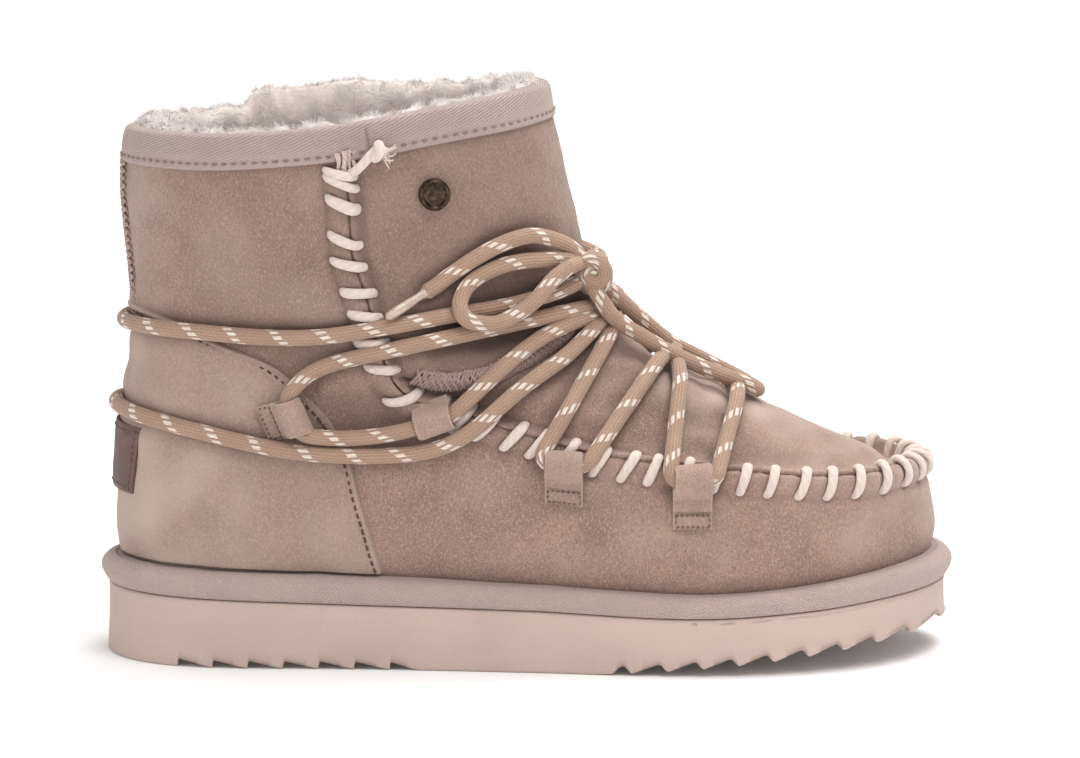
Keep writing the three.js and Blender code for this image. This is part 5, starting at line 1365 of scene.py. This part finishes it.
# ------------------------------------------------------------------ back seam: a narrow cover strip with zigzag stitching, above the counter
tb = np.linspace(6.35, 12.9, int(150 / COARSE))
ub = np.linspace(-1, 1, 21)
wide = 8.4
bphi = np.broadcast_to(ub[None] * 1.0, (len(tb), 21))
half_deg = wide / np.linalg.norm(surface(np.full(len(tb), 1.0), tb) - surface(np.full(len(tb), 0.0), tb), axis=-1)
bphi = bphi * half_deg[:, None]
bt = np.broadcast_to(tb[:, None], bphi.shape)
b0, bn = surface(bphi, bt), normal(bphi, bt)
bl = 0.70 - 0.85 * np.abs(ub[None]) ** 10 - 0.35 * np.exp(-(ub[None] / 0.10) ** 2) + 0.10 * smooth3(b0, 8, 41)
bl, close = relief(b0, bn, bl)
strip = build("back_seam_strip", (b0 + bn * bl[..., None]).reshape(-1, 3), grid(len(tb), 21), None, SUEDE_STRAP,
              attrs={"shade": np.clip(0.5 * close + 0.5 * np.exp(-(ub[None] / 0.08) ** 2) + 0.3 * np.abs(ub[None]) ** 10, 0, 1).ravel(), "wear": np.full(len(tb) * 21, 0.25)})
g = Gather()
for sgn in (-1, 1):
    for lane, (mid_, amp, pitch_, r_) in enumerate(((0.30, 0.20, 2.2, 0.50), (0.58, 0.22, 1.9, 0.52), (0.84, 0.16, 2.4, 0.46))):
        tz = np.linspace(6.5, 12.8, 900)
        hd = np.interp(tz, tb, half_deg)
        line = surface(np.zeros(900), tz)
        s = np.concatenate([[0], np.cumsum(np.linalg.norm(np.diff(line, axis=0), axis=1))])
        zig = np.abs(((s / pitch_ + 0.37 * lane) % 1) * 2 - 1) * 2 - 1
        ph = sgn * (mid_ + amp * zig + 0.03 * np.sin(s * 1.7 + lane)) * hd
        p, n = interp_line(ph, tz, 1.0)
        p = p + n * (0.22 * np.sin(s * 2 * np.pi / pitch_ * 2 + lane))[:, None]
        tube(g, p, r_, 6, step=0.5)
zz = g.make("back_seam_stitches", STITCH_SEAM)

# ------------------------------------------------------------------ overlocked lower edge of the front panel
ep = np.linspace(75.2, 284.8, 900)
e0 = surface(ep, edge_t(ep))
s = np.concatenate([[0], np.cumsum(np.linalg.norm(np.diff(e0, axis=0), axis=1))])
tan = unit(np.gradient(e0, axis=0))
en = normal(ep, edge_t(ep))
up = unit(np.cross(en, tan))
up *= np.sign(up[:, 2:])
g = Gather()
at = 1.0
while at < s[-1] - 2:
    c = np.array([np.interp(at, s, e0[:, k]) for k in range(3)])
    t_ = unit(np.array([np.interp(at, s, tan[:, k]) for k in range(3)]))
    n_ = unit(np.array([np.interp(at, s, en[:, k]) for k in range(3)]))
    u_ = unit(np.array([np.interp(at, s, up[:, k]) for k in range(3)]))
    j, w_ = RNG.uniform(-0.3, 0.3), RNG.uniform(-0.5, 0.5)
    pts = [c - u_ * 1.2 - t_ * 1.2 - n_ * 0.5, c - u_ * 1.0 - t_ * 0.9 + n_ * 0.9, c + u_ * (1.2 + j) + t_ * (0.3 + j) + n_ * 2.1, c + u_ * 3.0 + t_ * (1.3 + w_) + n_ * 1.95, c + u_ * (4.4 + w_) + t_ * 2.2 + n_ * 0.9]
    tube(g, centripetal(pts, 3), 0.50 + 0.2 * j, 6)
    if int(at / 1.1) % 2:
        pts = [c - u_ * 1.1 + t_ * 1.6 + n_ * 0.8, c + u_ * 0.6 + t_ * 0.8 + n_ * 2.3, c + u_ * 2.2 - t_ * (0.2 + j) + n_ * 2.45, c + u_ * (4.0 + j) - t_ * 1.0 + n_ * 1.1]
        tube(g, centripetal(pts, 3), 0.55, 6)
    at += 1.1
for off, r in ((0.2, 0.5), (3.9, 0.45)):
    q = e0 + up * off + en * (1.35 if off < 1 else 1.55) + up * 0.15 * np.sin(s * 2 * np.pi / 1.75)[:, None]
    tube(g, q[6:-6], r, 7, step=0.8)
lock = g.make("front_panel_overlock", STITCH_MAUVE)

# ------------------------------------------------------------------ collar tape, folded over the top edge
cols = int(560 / COARSE)
cp = np.linspace(0, 360, cols + 1)
rim = surface(cp, np.full(cols + 1, 14.0))
run = np.concatenate([[0], np.cumsum(np.linalg.norm(np.diff(rim, axis=0), axis=1))])
per = 0.2 / np.linalg.norm(rim - surface(cp, np.full(cols + 1, 13.8)), axis=-1)
flat_n = normal(cp, np.full(cols + 1, 14.0)) * (1, 1, 0)
flat_n = unit(flat_n)
wave = 0.18 * np.sin(run / 7.3) + 0.14 * np.sin(run / 3.1 + 1)
rows, vv_ = [], []
for down, lf in ((9.9, -0.2), (9.75, 0.75), (9.5, 1.12), (9.1, 1.3), (8.4, 1.26), (7.6, 1.12), (6.4, 1.32), (5, 1.42), (3.6, 1.46), (2.2, 1.5), (1.0, 1.46)):
    tt_ = 14 - down * per
    rows.append(surface(cp, tt_) + normal(cp, tt_) * (lf + 0.3 * wave * (down > 1.5))[:, None])
    vv_.append(down)
for inward, rise in ((-1.25, 0.55), (-0.7, 1.15), (0.2, 1.5), (1.4, 1.6), (2.6, 1.55), (3.6, 1.35), (4.2, 0.9), (4.3, 0.2)):
    p = rim - flat_n * inward
    p = p + np.stack([np.zeros(cols + 1), np.zeros(cols + 1), rise + 0.25 * wave], 1)
    rows.append(p)
    vv_.append(-0.6 - (inward + 1.25))
pt = np.array(rows)
uv = np.stack(np.broadcast_arrays(run[None], np.array(vv_)[:, None]), -1)
# painted shade along the stitch row and along the tape's lower edge where it meets the upper
cut = np.exp(-((np.array(vv_)[:, None] - 7.7) / 0.5) ** 2) * 0.25 + np.exp(-((np.array(vv_)[:, None] - 9.9) / 0.35) ** 2) * 0.5
joint = np.exp(-((run[None] - np.interp(99.0, cp, run)) / 0.45) ** 2) * (np.array(vv_)[:, None] > -0.5)
over = (np.clip((run - np.interp(99.0, cp, run)) / 0.6, 0, 1) * np.clip((np.interp(99.0, cp, run) + 16 - run) / 6.0, 0, 1))
pt = pt + normal(cp, np.full(cols + 1, 13.6))[None] * (0.55 * over)[None, :, None] * (np.array(vv_)[:, None, None] > -1.0)
g = Gather()
g.grid(pt[:, :], uv=uv, shade=np.clip(cut + 0.8 * joint, 0, 1))
binding = g.make("collar_tape", TAPE)
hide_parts("collar_binding")
g = Gather()
tt_ = 14 - 7.7 * per
q, qn = surface(cp, tt_), normal(cp, tt_)
dashes(g, q + qn * (1.16 + 0.55 * over)[:, None], qn, 3.4, 1.55, 0.33, 0.10)
cs = g.make("collar_stitches", STITCH_TAPE)

# ------------------------------------------------------------------ sole: a moulded slab with ribs cut right across underneath
SOLE_LENGTH, SIDE_FLARE, TOE_SPRING, SPRING_START, SPRING_POWER, TREAD_DEPTH, PITCH = 270, 0.7, 10.5, 20, 1.2, 2.3, 11.2
RING = dict(xb=-135, xf=135, heel=37.2, waist=38.2, ball=49.4, rb=34, rf=41, bend=1)
TOP_X = [-136, -100, -50, 0, 50, 90, 115, 136]
TOP_Z = [22.8, 21.8, 20.4, 19.6, 18.3, 20.0, 22.0, 23.4]


def plan(phi):
    a = np.asarray(phi, float) * RAD
    xi = (1 - np.cos(a)) / 2
    u = xi * 4
    full = cat(np.array([math.sqrt(34 * 135), 37.2 / 0.8660254, 38.2, 49.4 / 0.8660254, math.sqrt(41 * 135)]), u)
    return np.stack([-135 + 270 * xi, cat(FOOT_CURVE, u) - full * np.sin(a)], -1)


def outline(phi, inset):
    p = plan(phi)
    d = plan(np.asarray(phi) + 0.57) - plan(np.asarray(phi) - 0.57)
    d = unit(d)
    return p + np.stack([-d[..., 1], d[..., 0]], -1) * np.asarray(inset, float)[..., None]


def sole_top(x):
    X, Z = np.array(TOP_X, float), np.array(TOP_Z, float)
    m = np.array([(Z[min(7, k + 1)] - Z[max(0, k - 1)]) / (X[min(7, k + 1)] - X[max(0, k - 1)]) for k in range(8)])
    x = np.clip(x, X[0], X[-1])
    i = np.clip(np.searchsorted(X, x, side="right") - 1, 0, 6)
    h = X[i + 1] - X[i]
    s = (x - X[i]) / h
    return (2 * s**3 - 3 * s**2 + 1) * Z[i] + (s**3 - 2 * s**2 + s) * h * m[i] + (3 * s**2 - 2 * s**3) * Z[i + 1] + (s**3 - s**2) * h * m[i + 1]


def welt_top(x):
    r = LAYERS[0]
    u = np.clip((x - r[0]) / (r[1] - r[0]), 0, 1) * 4
    return cat(r[2:7], u) - 0.3


def spring(x):
    return np.where(x > SPRING_START, TOE_SPRING * (np.maximum(x - SPRING_START, 0) / (135 - SPRING_START)) ** SPRING_POWER, 0)


# the side form's lower edge as a table of x and z, with softened rib corners
bx, bz = [-141.0], [0.0]


def low(x, z):
    bx.append(x)
    bz.append(float(z))


low(-112.0, 0)
for k in range(6):
    x = -110.5 + k * PITCH
    low(x - 0.5, 0.06), low(x, 0.3), low(x + 0.25, TREAD_DEPTH * 0.75), low(x + 0.6, TREAD_DEPTH), low(x + 1.1, TREAD_DEPTH * 0.96)
x = -110.5 + 6 * PITCH
low(x - 0.5, 0.06), low(x, 0.3), low(x + 0.25, TREAD_DEPTH * 0.75), low(x + 0.6, TREAD_DEPTH), low(x + 8.2, 0.12), low(x + 9.2, 0)
low(SPRING_START, 0)
for k in range(10):
    x = 30 + k * PITCH
    if k == 0:
        low(x - PITCH + 2.6 + 5, spring(x - PITCH + 7.6))
    low(x - 0.9, spring(x) + TREAD_DEPTH * 0.93), low(x - 0.2, spring(x) + TREAD_DEPTH), low(x + 0.5, spring(x) + TREAD_DEPTH * 0.92)
    low(x + 1.9, spring(x + 1.9) + 0.5), low(x + 2.4, spring(x + 2.4) + 0.08), low(x + 3.0, spring(x + 3.0))
low(141, spring(134.5) + 1.2)
bx, bz = np.array(bx), np.array(bz)
order = np.argsort(bx, kind="stable")
bx, bz = bx[order], bz[order]


def sole_low(x):
    return np.interp(x, bx, bz)


# columns close together where the ribs are
xs = np.unique(np.concatenate([np.linspace(-134.6, 134.6, int(330 / COARSE)), bx[(bx > -134.6) & (bx < 134.6)], bx[(bx > -134.6) & (bx < 134.6)] + 0.12, -135 + 270 * (1 - np.cos(np.linspace(0, np.pi, 220))) / 2]))
xs = xs[np.concatenate([[True], np.diff(xs) > 0.1])]
ph = np.degrees(np.arccos(np.clip(1 - 2 * (xs + 135) / 270, -1, 1)))
ph = ph[(ph > 0.4) & (ph < 179.6)]
ringp = np.concatenate([[0.0], ph, [180.0], 360 - ph[::-1]])
xo = plan(ringp)[:, 0]
zt, zb = sole_top(xo), sole_low(xo)
zb = np.minimum(zb, zt - 6)
rows = []
for inset, share, dz in ((14, 1, 0), (3.0, 1, 0), (1.6, 1, -0.03), (0.95, 1, -0.25), (0.62, 1, -0.75), (0.55, 1, -1.4)) + tuple((None, k, 0) for k in np.linspace(0.90, 0.08, 14)) + ((0.05, 0, 0.9), (0.16, 0, 0.42), (0.5, 0, 0.12), (1.1, 0, 0.0)):
    z = zb + (zt - zb) * share + dz
    if inset is None:
        inset = SIDE_FLARE * (z + 1) / 22 - 0.05
    o_ = outline(ringp, np.broadcast_to(inset, ringp.shape) + (0.0 if share in (0, 1) else 0.12 * np.sin(np.pi * share)))
    rows.append(np.concatenate([o_, z[:, None]], 1))
side = np.array(rows)
n_ring = len(ringp)
g = Gather()
k0 = g.grid(np.concatenate([side, side[:, :1]], 1), flip=True,
            shade=np.concatenate([np.clip(0.9 * np.exp(-(side[..., 2] - (zb[None])) / 1.0) * (zb[None] > spring(xo)[None] + 0.9) + 0.35 * np.exp(-((zt[None] - side[..., 2]) / 0.5)), 0, 1), np.zeros((len(side), 1))], 1))
# the underside, across from one side to the other at equal lengths
near_, far_ = side[-1][1:1 + len(ph)], side[-1][n_ring - len(ph):][::-1]
w = np.linspace(0, 1, 9)[None, :, None]
under = near_[:, None] * (1 - w) + far_[:, None] * w
under = np.concatenate([np.repeat(side[-1][0][None, None], 9, 1), under, np.repeat(side[-1][1 + len(ph)][None, None], 9, 1)], 0)
g.grid(under, flip=False, shade=np.broadcast_to((under[..., 2] > spring(under[..., 0]) + 1.0) * 0.5, under.shape[:2]))
near_, far_ = side[0][1:1 + len(ph)], side[0][n_ring - len(ph):][::-1]
lid = near_[:, None] * (1 - w) + far_[:, None] * w
g.grid(lid, flip=True)
sole = g.make("outsole", FOAM)
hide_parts("sole")

# ------------------------------------------------------------------ welt: tape wrapped round the platform's edge
cols = int(760 / COARSE)
wp = np.linspace(0, 360, cols + 1)
sec = [(2.2, -0.02), (1.25, 0.0), (0.6, 0.02), (0.15, 0.10), (-0.12, 0.22), (-0.28, 0.36), (-0.34, 0.50), (-0.25, 0.63), (0.02, 0.75), (0.5, 0.85), (1.15, 0.92), (2.0, 0.965), (2.9, 0.985), (3.5, 0.975), (3.9, 0.93), (4.3, 0.95), (4.9, 0.985), (5.6, 1.0), (6.6, 1.0), (9.5, 1.0)]
wo = outline(wp, np.zeros(cols + 1))
runw = np.concatenate([[0], np.cumsum(np.linalg.norm(np.diff(wo, axis=0), axis=1))])
rows, uvv, prev, acc = [], [], None, 0.0
for inset, rise in sec:
    ends_ = step01((np.abs(wo[:, 0]) - 108) / 22) * 1.5 * np.exp(-((rise - 0.55) / 0.42) ** 2)
    o_ = outline(wp, inset - ends_)
    lo_z, hi_z = sole_top(o_[:, 0]) + 0.1, welt_top(o_[:, 0])
    bump_ = 0.10 * np.sin(runw / 5.1 + 2 * rise) + 0.08 * np.sin(runw / 2.3)
    p = np.stack([o_[:, 0], o_[:, 1], lo_z + (hi_z - lo_z) * rise + 0.25 * bump_ * (rise > 0.05)], 1)
    if prev is not None:
        acc += float(np.median(np.linalg.norm(p - prev, axis=1)))
    prev = p
    rows.append(p)
    uvv.append(acc)
pw = np.array(rows)
uv = np.stack(np.broadcast_arrays(runw[None], np.array(uvv)[:, None]), -1)
sv = np.array([s_[1] for s_ in sec])[:, None]
si = np.array([s_[0] for s_ in sec])[:, None]
shade_w = 0.45 * np.exp(-((si - 3.9) / 0.30) ** 2) * (sv > 0.9) + 0.55 * np.exp(-((si - 6.2) / 0.5) ** 2) * (sv > 0.99) + 0.6 * (sv < 0.01)
g = Gather()
g.grid(pw, uv=uv, flip=True, shade=np.broadcast_to(shade_w, pw.shape[:2]))
welt = g.make("welt_tape", WELT)
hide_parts("welt")

# ------------------------------------------------------------------ fleece: the lining, the roll of pile at the collar, and the footbed
cols = int(330 / COARSE)
fp = np.linspace(0, 360, cols + 1)
rimf = surface(fp, np.full(cols + 1, 14.0))
rows = []
# on the inner side the pile flops up over the rim in one place
flop = 4.6 * step01((rimf[:, 0] + 97) / 7) * (1 - step01((rimf[:, 0] + 62) / 38)) * step01((rimf[:, 1] - 8) / 12)
lowr = 1 - 0.45 * step01((-rimf[:, 1] - 5) / 15)
for inward, rise in ((3.0, 0.2), (3.2, 1.3), (3.9, 2.3), (5.2, 3.1), (7.0, 3.1), (8.6, 2.2), (9.6, 0.6), (10.0, -2.0)):
    p = rimf - unit(normal(fp, np.full(cols + 1, 14.0)) * (1, 1, 0)) * inward
    p[:, 2] += rise * (lowr * (1 - 0.35 * step01((rimf[:, 0] + 60) / 40)) if rise > 0 else 1) + flop * step01(rise / 2.5)
    rows.append(p)
for t_ in np.concatenate([np.linspace(13.4, 9.0, 34), np.linspace(8.85, 0.0, 70)]):
    deep = 7.6 + 2.0 * np.clip((t_ - 11) / 3, 0, 1)
    rows.append(surface(fp, np.full(cols + 1, t_), LINING) - normal(fp, np.full(cols + 1, t_), LINING, 6.0, 0.7) * deep)
pl = np.array(rows)
inn = unit(np.cross(np.gradient(pl, axis=1), np.gradient(pl, axis=0)))
tuft = smooth3(pl, 9.5, 51) * 0.8 + smooth3(pl, 5.0, 52) * 0.40 + smooth3(pl, 2.6, 53) * 0.14
ramp_in = np.clip(np.arange(len(pl)) / 3.0, 0, 1)[:, None]
pl = pl + inn * (tuft * ramp_in)[..., None]
pl[:, -1] = pl[:, 0]
deep_shade = np.clip((np.arange(len(pl)) - 6.5) / 9.0, 0, 1)[:, None] * np.ones(pl.shape[1])[None] * 0.8
lining = build("fleece_lining", pl.reshape(-1, 3), grid(*pl.shape[:2]), None, FLEECE, attrs={"shade": deep_shade.ravel()})
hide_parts("upper")

ni, nj = int(60 / COARSE), int(300 / COARSE)
ip = np.linspace(0, 360, nj + 1)
rows = []
for k, inset in enumerate(np.concatenate([[14.4, 14.5, 15.2, 16.6], np.linspace(18, 44, ni)])):
    o_ = outline(ip, np.full(nj + 1, min(inset, 30.0)))
    z = welt_top(o_[:, 0]) + 4.5 - (4.5, 2.0, 0.5, 0.1, 0)[min(k, 4)]
    p = np.concatenate([o_, z[:, None]], 1)
    if inset > 30:  # the middle rows close towards the foot's middle line
        mid_ = np.stack([p[:, 0] * 0.93, np.interp(p[:, 0], [-135, -67, 0, 67, 135], FOOT_CURVE), p[:, 2]], 1)
        q = (inset - 30) / 14.0
        p = p * (1 - q) + mid_ * q
        p[:, 2] = welt_top(p[:, 0]) + 4.5 - 0.6 * q
    rows.append(p)
pi_ = np.array(rows)
pi_[..., 2] += (smooth3(pi_, 9, 61) * 0.6 + smooth3(pi_, 4, 62) * 0.35) * np.clip(np.arange(len(pi_)) / 4.0, 0, 1)[:, None]
pi_[:, -1] = pi_[:, 0]
bed = build("footbed", pi_.reshape(-1, 3), grid(*pi_.shape[:2], flip=True), None, FLEECE, attrs={"shade": np.zeros(pi_.shape[0] * pi_.shape[1])})
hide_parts("insole")

# loose strands of pile along the collar
r = np.random.default_rng(11)
count = int((33000))
row_i = np.clip(np.abs(r.normal(3.5, 4.5, count)), 0.6, 24)
col_i = r.uniform(0, pl.shape[1] - 1.001, count)
ri, ci = row_i.astype(int), col_i.astype(int)
root = pl[ri, ci] + (pl[ri, ci + 1] - pl[ri, ci]) * (col_i - ci)[:, None] + (pl[ri + 1, ci] - pl[ri, ci]) * (row_i - ri)[:, None]
out = inn[ri, ci]
clump = np.stack([smooth3(root, 6, 71 + k) for k in range(3)], -1)
lean = unit(out + 0.9 * clump + r.normal(0, 0.30, (count, 3)) + np.array((0, 0, 0.1)))
bend = unit(r.normal(0, 0.7, (count, 3)) + 1.2 * clump + np.array((0, 0, -0.2)))
ln_ = (r.uniform(0.9, 2.3, count) + (r.random(count) < 0.12) * r.uniform(0, 1.6, count))[:, None]
wd = unit(np.cross(lean, r.normal(0, 1, (count, 3)))) * r.uniform(0.05, 0.09, count)[:, None]
a0, a1, a2 = root - 0.5 * lean, root + lean * ln_ * 0.55 + bend * 0.25 * ln_, root + lean * ln_ * 0.80 + bend * 0.75 * ln_
face = np.cross(wd, a1 - a0)
wd = wd * np.where((face * (0.4 * out + np.array((0, -0.8, 0.6)))).sum(-1) < 0, -1.0, 1.0)[:, None]
sv_ = np.stack([a0 - wd, a0 + wd, a1 - wd * 0.8, a1 + wd * 0.8, a2], 1).reshape(-1, 3)
b = np.arange(count)[:, None] * 5
pile = build("fleece_strands", sv_, np.concatenate([b + (0, 1, 3, 2)], 0), np.concatenate([b + (2, 3, 4)], 0), FLEECE, attrs={"shade": np.repeat(np.clip(deep_shade[ri, ci] * 0.8 + 0.10, 0, 1), 5)})
# the strands are shaded with the pile they stand in, so that it looks soft
pile.data.normals_split_custom_set_from_vertices(np.repeat(unit(out + 0.25 * lean + np.array((0, -0.35, 0.55))), 5, 0).tolist())
pile.visible_shadow = False
pile.visible_diffuse = False

# ------------------------------------------------------------------ keepers: folded straps round the lace, with stitched tails
for side_, side_name in ((-1, "outer"), (1, "inner")):
    for i, (kphi, kt, klace, ktail, klen, seat) in enumerate(KEEPERS, 1):
        rc = K_HOLE + 0.55
        # the strap's own line, from the tail's lower end round the lace and back: (along the tail, off the skin)
        path = [(K_OUT + klen, -K_OUT + 0.55), (K_OUT + klen * 0.5, -K_OUT + 0.5), (K_OUT * 0.9, -K_OUT + 0.5), (K_OUT * 0.25, -K_OUT + 0.55)]
        for a in np.linspace(-100, -280, 15):
            path.append((rc * math.cos(math.radians(a)), rc * math.sin(math.radians(a))))
        path += [(rc * math.cos(math.radians(a)), rc * math.sin(math.radians(a))) for a in (60, 40, 20, 2)]
        short = 5.2 if klen > 5 else 0.0  # the upper layer stops short of the stitched foot
        path += [(K_OUT + 0.15, -K_OUT + 3.0), (K_OUT + 1.3, -K_OUT + 1.95), (K_OUT + 1.3 + (klen - short - 1.3) * 0.5, -K_OUT + 1.85), (K_OUT + klen - short, -K_OUT + 1.8)]
        path = np.array(path)
        path = centripetal(np.concatenate([path, np.zeros((len(path), 1))], 1), 3)[:, :2]
        tg = unit(np.gradient(path, axis=0))
        nm = np.stack([-tg[:, 1], tg[:, 0]], 1)
        # cross section of the strap: 12 wide, 1.1 thick, edges soft
        wv = np.concatenate([np.linspace(-1, 1, 13), [1.0], np.linspace(1, -1, 13), [-1.0]])
        wv = np.concatenate([np.linspace(-1, 1, 15), np.linspace(1, -1, 15)])
        th = np.concatenate([0.55 * np.sqrt(np.clip(1 - np.abs(np.linspace(-1, 1, 15)) ** 12, 0, 1)), -0.55 * np.sqrt(np.clip(1 - np.abs(np.linspace(1, -1, 15)) ** 12, 0, 1))])
        width = 6.0 - 0.25 * np.exp(-((path[:, 1] - rc) / 1.5) ** 2)
        S = path[:, None, 0] + nm[:, None, 0] * th[None]
        Hh = path[:, None, 1] + nm[:, None, 1] * th[None]
        Wd = width[:, None] * wv[None]
        mir = -side_
        lace_dir = np.array([klace[0], klace[1] * mir, klace[2]], float)
        tail_dir = np.array([ktail[0], ktail[1] * mir, ktail[2]], float)
        ph0 = kphi if side_ < 0 else 360 - kphi
        # walk across the width once, then along the tail for every point
        wgrid = np.linspace(-6.2, 6.2, 25)
        a1_, a2_ = walk(np.full(25, float(ph0)), np.full(25, kt), lace_dir, wgrid, 0.8)
        base_phi, base_t = np.interp(Wd, wgrid, a1_), np.interp(Wd, wgrid, a2_)
        q_phi, q_t = walk(base_phi.ravel(), base_t.ravel(), tail_dir, S.ravel(), 0.9)
        q_t = np.clip(q_t, 0.02, COLLAR)
        P = surface(q_phi, q_t) + normal(q_phi, q_t) * (Hh.ravel() + K_OUT + seat)[:, None]
        P = P.reshape(S.shape + (3,))
        edge_w = np.clip((np.abs(wv)[None] - 0.88) / 0.12, 0, 1) * np.ones_like(S)
        g = Gather()
        inside = np.broadcast_to((np.arange(len(path)) < 12)[:, None] * 0.6, S.shape)
        hole = np.clip(np.where(np.hypot(path[:, 0], path[:, 1])[:, None] < rc + 0.6, (th[None] * 1.0 < -0.2) * 0.5, 0) * np.ones_like(S), 0, 1)
        g.grid(np.concatenate([P, P[:, :1]], 1), wear=np.concatenate([0.35 * edge_w + 0.15, 0.35 * edge_w[:, :1] + 0.15], 1), shade=np.concatenate([hole, hole[:, :1]], 1))
        for row, fl in ((0, True), (len(P) - 1, False)):
            ringn = np.arange(S.shape[1]) + row * (S.shape[1] + 1)
            g.fan(ringn, P[row].mean(0), flip=not fl)
        ko = g.make(f"keeper_strap_{i}_{side_name}", SUEDE_STRAP)
        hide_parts(f"keeper_{i}_{side_name}")
        # stitches across the tail
        g = Gather()

        def tail_point(s_, w_, h_):
            a_, b_ = np.interp(w_, wgrid, a1_), np.interp(w_, wgrid, a2_)
            x_, y_ = walk(np.atleast_1d(a_), np.atleast_1d(b_), tail_dir, np.atleast_1d(s_), 0.8)
            return surface(x_, y_) + normal(x_, y_) * (h_ + K_OUT + seat), normal(x_, y_)

        top_h = -K_OUT + 1.12
        if klen > 5:
            s0, s1 = K_OUT + klen - 4.3, K_OUT + klen - 0.9
            loop = [(s0, -5.1), (s1, -5.1), (s1, 5.1), (s0, 5.1), (s0, -5.1)]
            for (sa, wa), (sb, wb) in zip(loop[:-1], loop[1:]):
                k_ = np.linspace(0, 1, 24)
                q, qn = tail_point(sa + (sb - sa) * k_, wa + (wb - wa) * k_, top_h)
                dashes(g, q, qn, 1.6, 0.62, 0.27, 0.08, start=0.2)
            so = g.make(f"keeper_stitches_{i}_{side_name}", STITCH_FOOT)

# ------------------------------------------------------------------ stud: a plain domed cap with a rolled rim
sp_, st_ = np.array([113.3]), np.array([12.14])
c, n_ = surface(sp_, st_)[0], normal(sp_, st_)[0]
x_ = unit(surface(np.array([120.0]), st_)[0] - c)
x_ = unit(x_ - n_ * (x_ @ n_))
y_ = np.cross(n_, x_)
prof = centripetal([(5.0, 0.0, 0), (5.05, 0.7, 0), (4.95, 1.35, 0), (4.5, 1.85, 0), (4.0, 1.95, 0), (3.6, 1.6, 0), (3.35, 1.15, 0), (2.9, 1.2, 0), (1.8, 1.42, 0), (0.9, 1.5, 0), (0.02, 1.52, 0)], 4)[:, :2]
aa_ = np.linspace(0, 2 * np.pi, 65)
P = c + n_ * 0.45 + prof[:, None, 0, None] * (np.cos(aa_)[None, :, None] * x_ + np.sin(aa_)[None, :, None] * y_) + prof[:, None, 1, None] * n_
g = Gather()
g.grid(P)
stud = g.make("stud_cap", BRONZE)
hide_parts("stud")
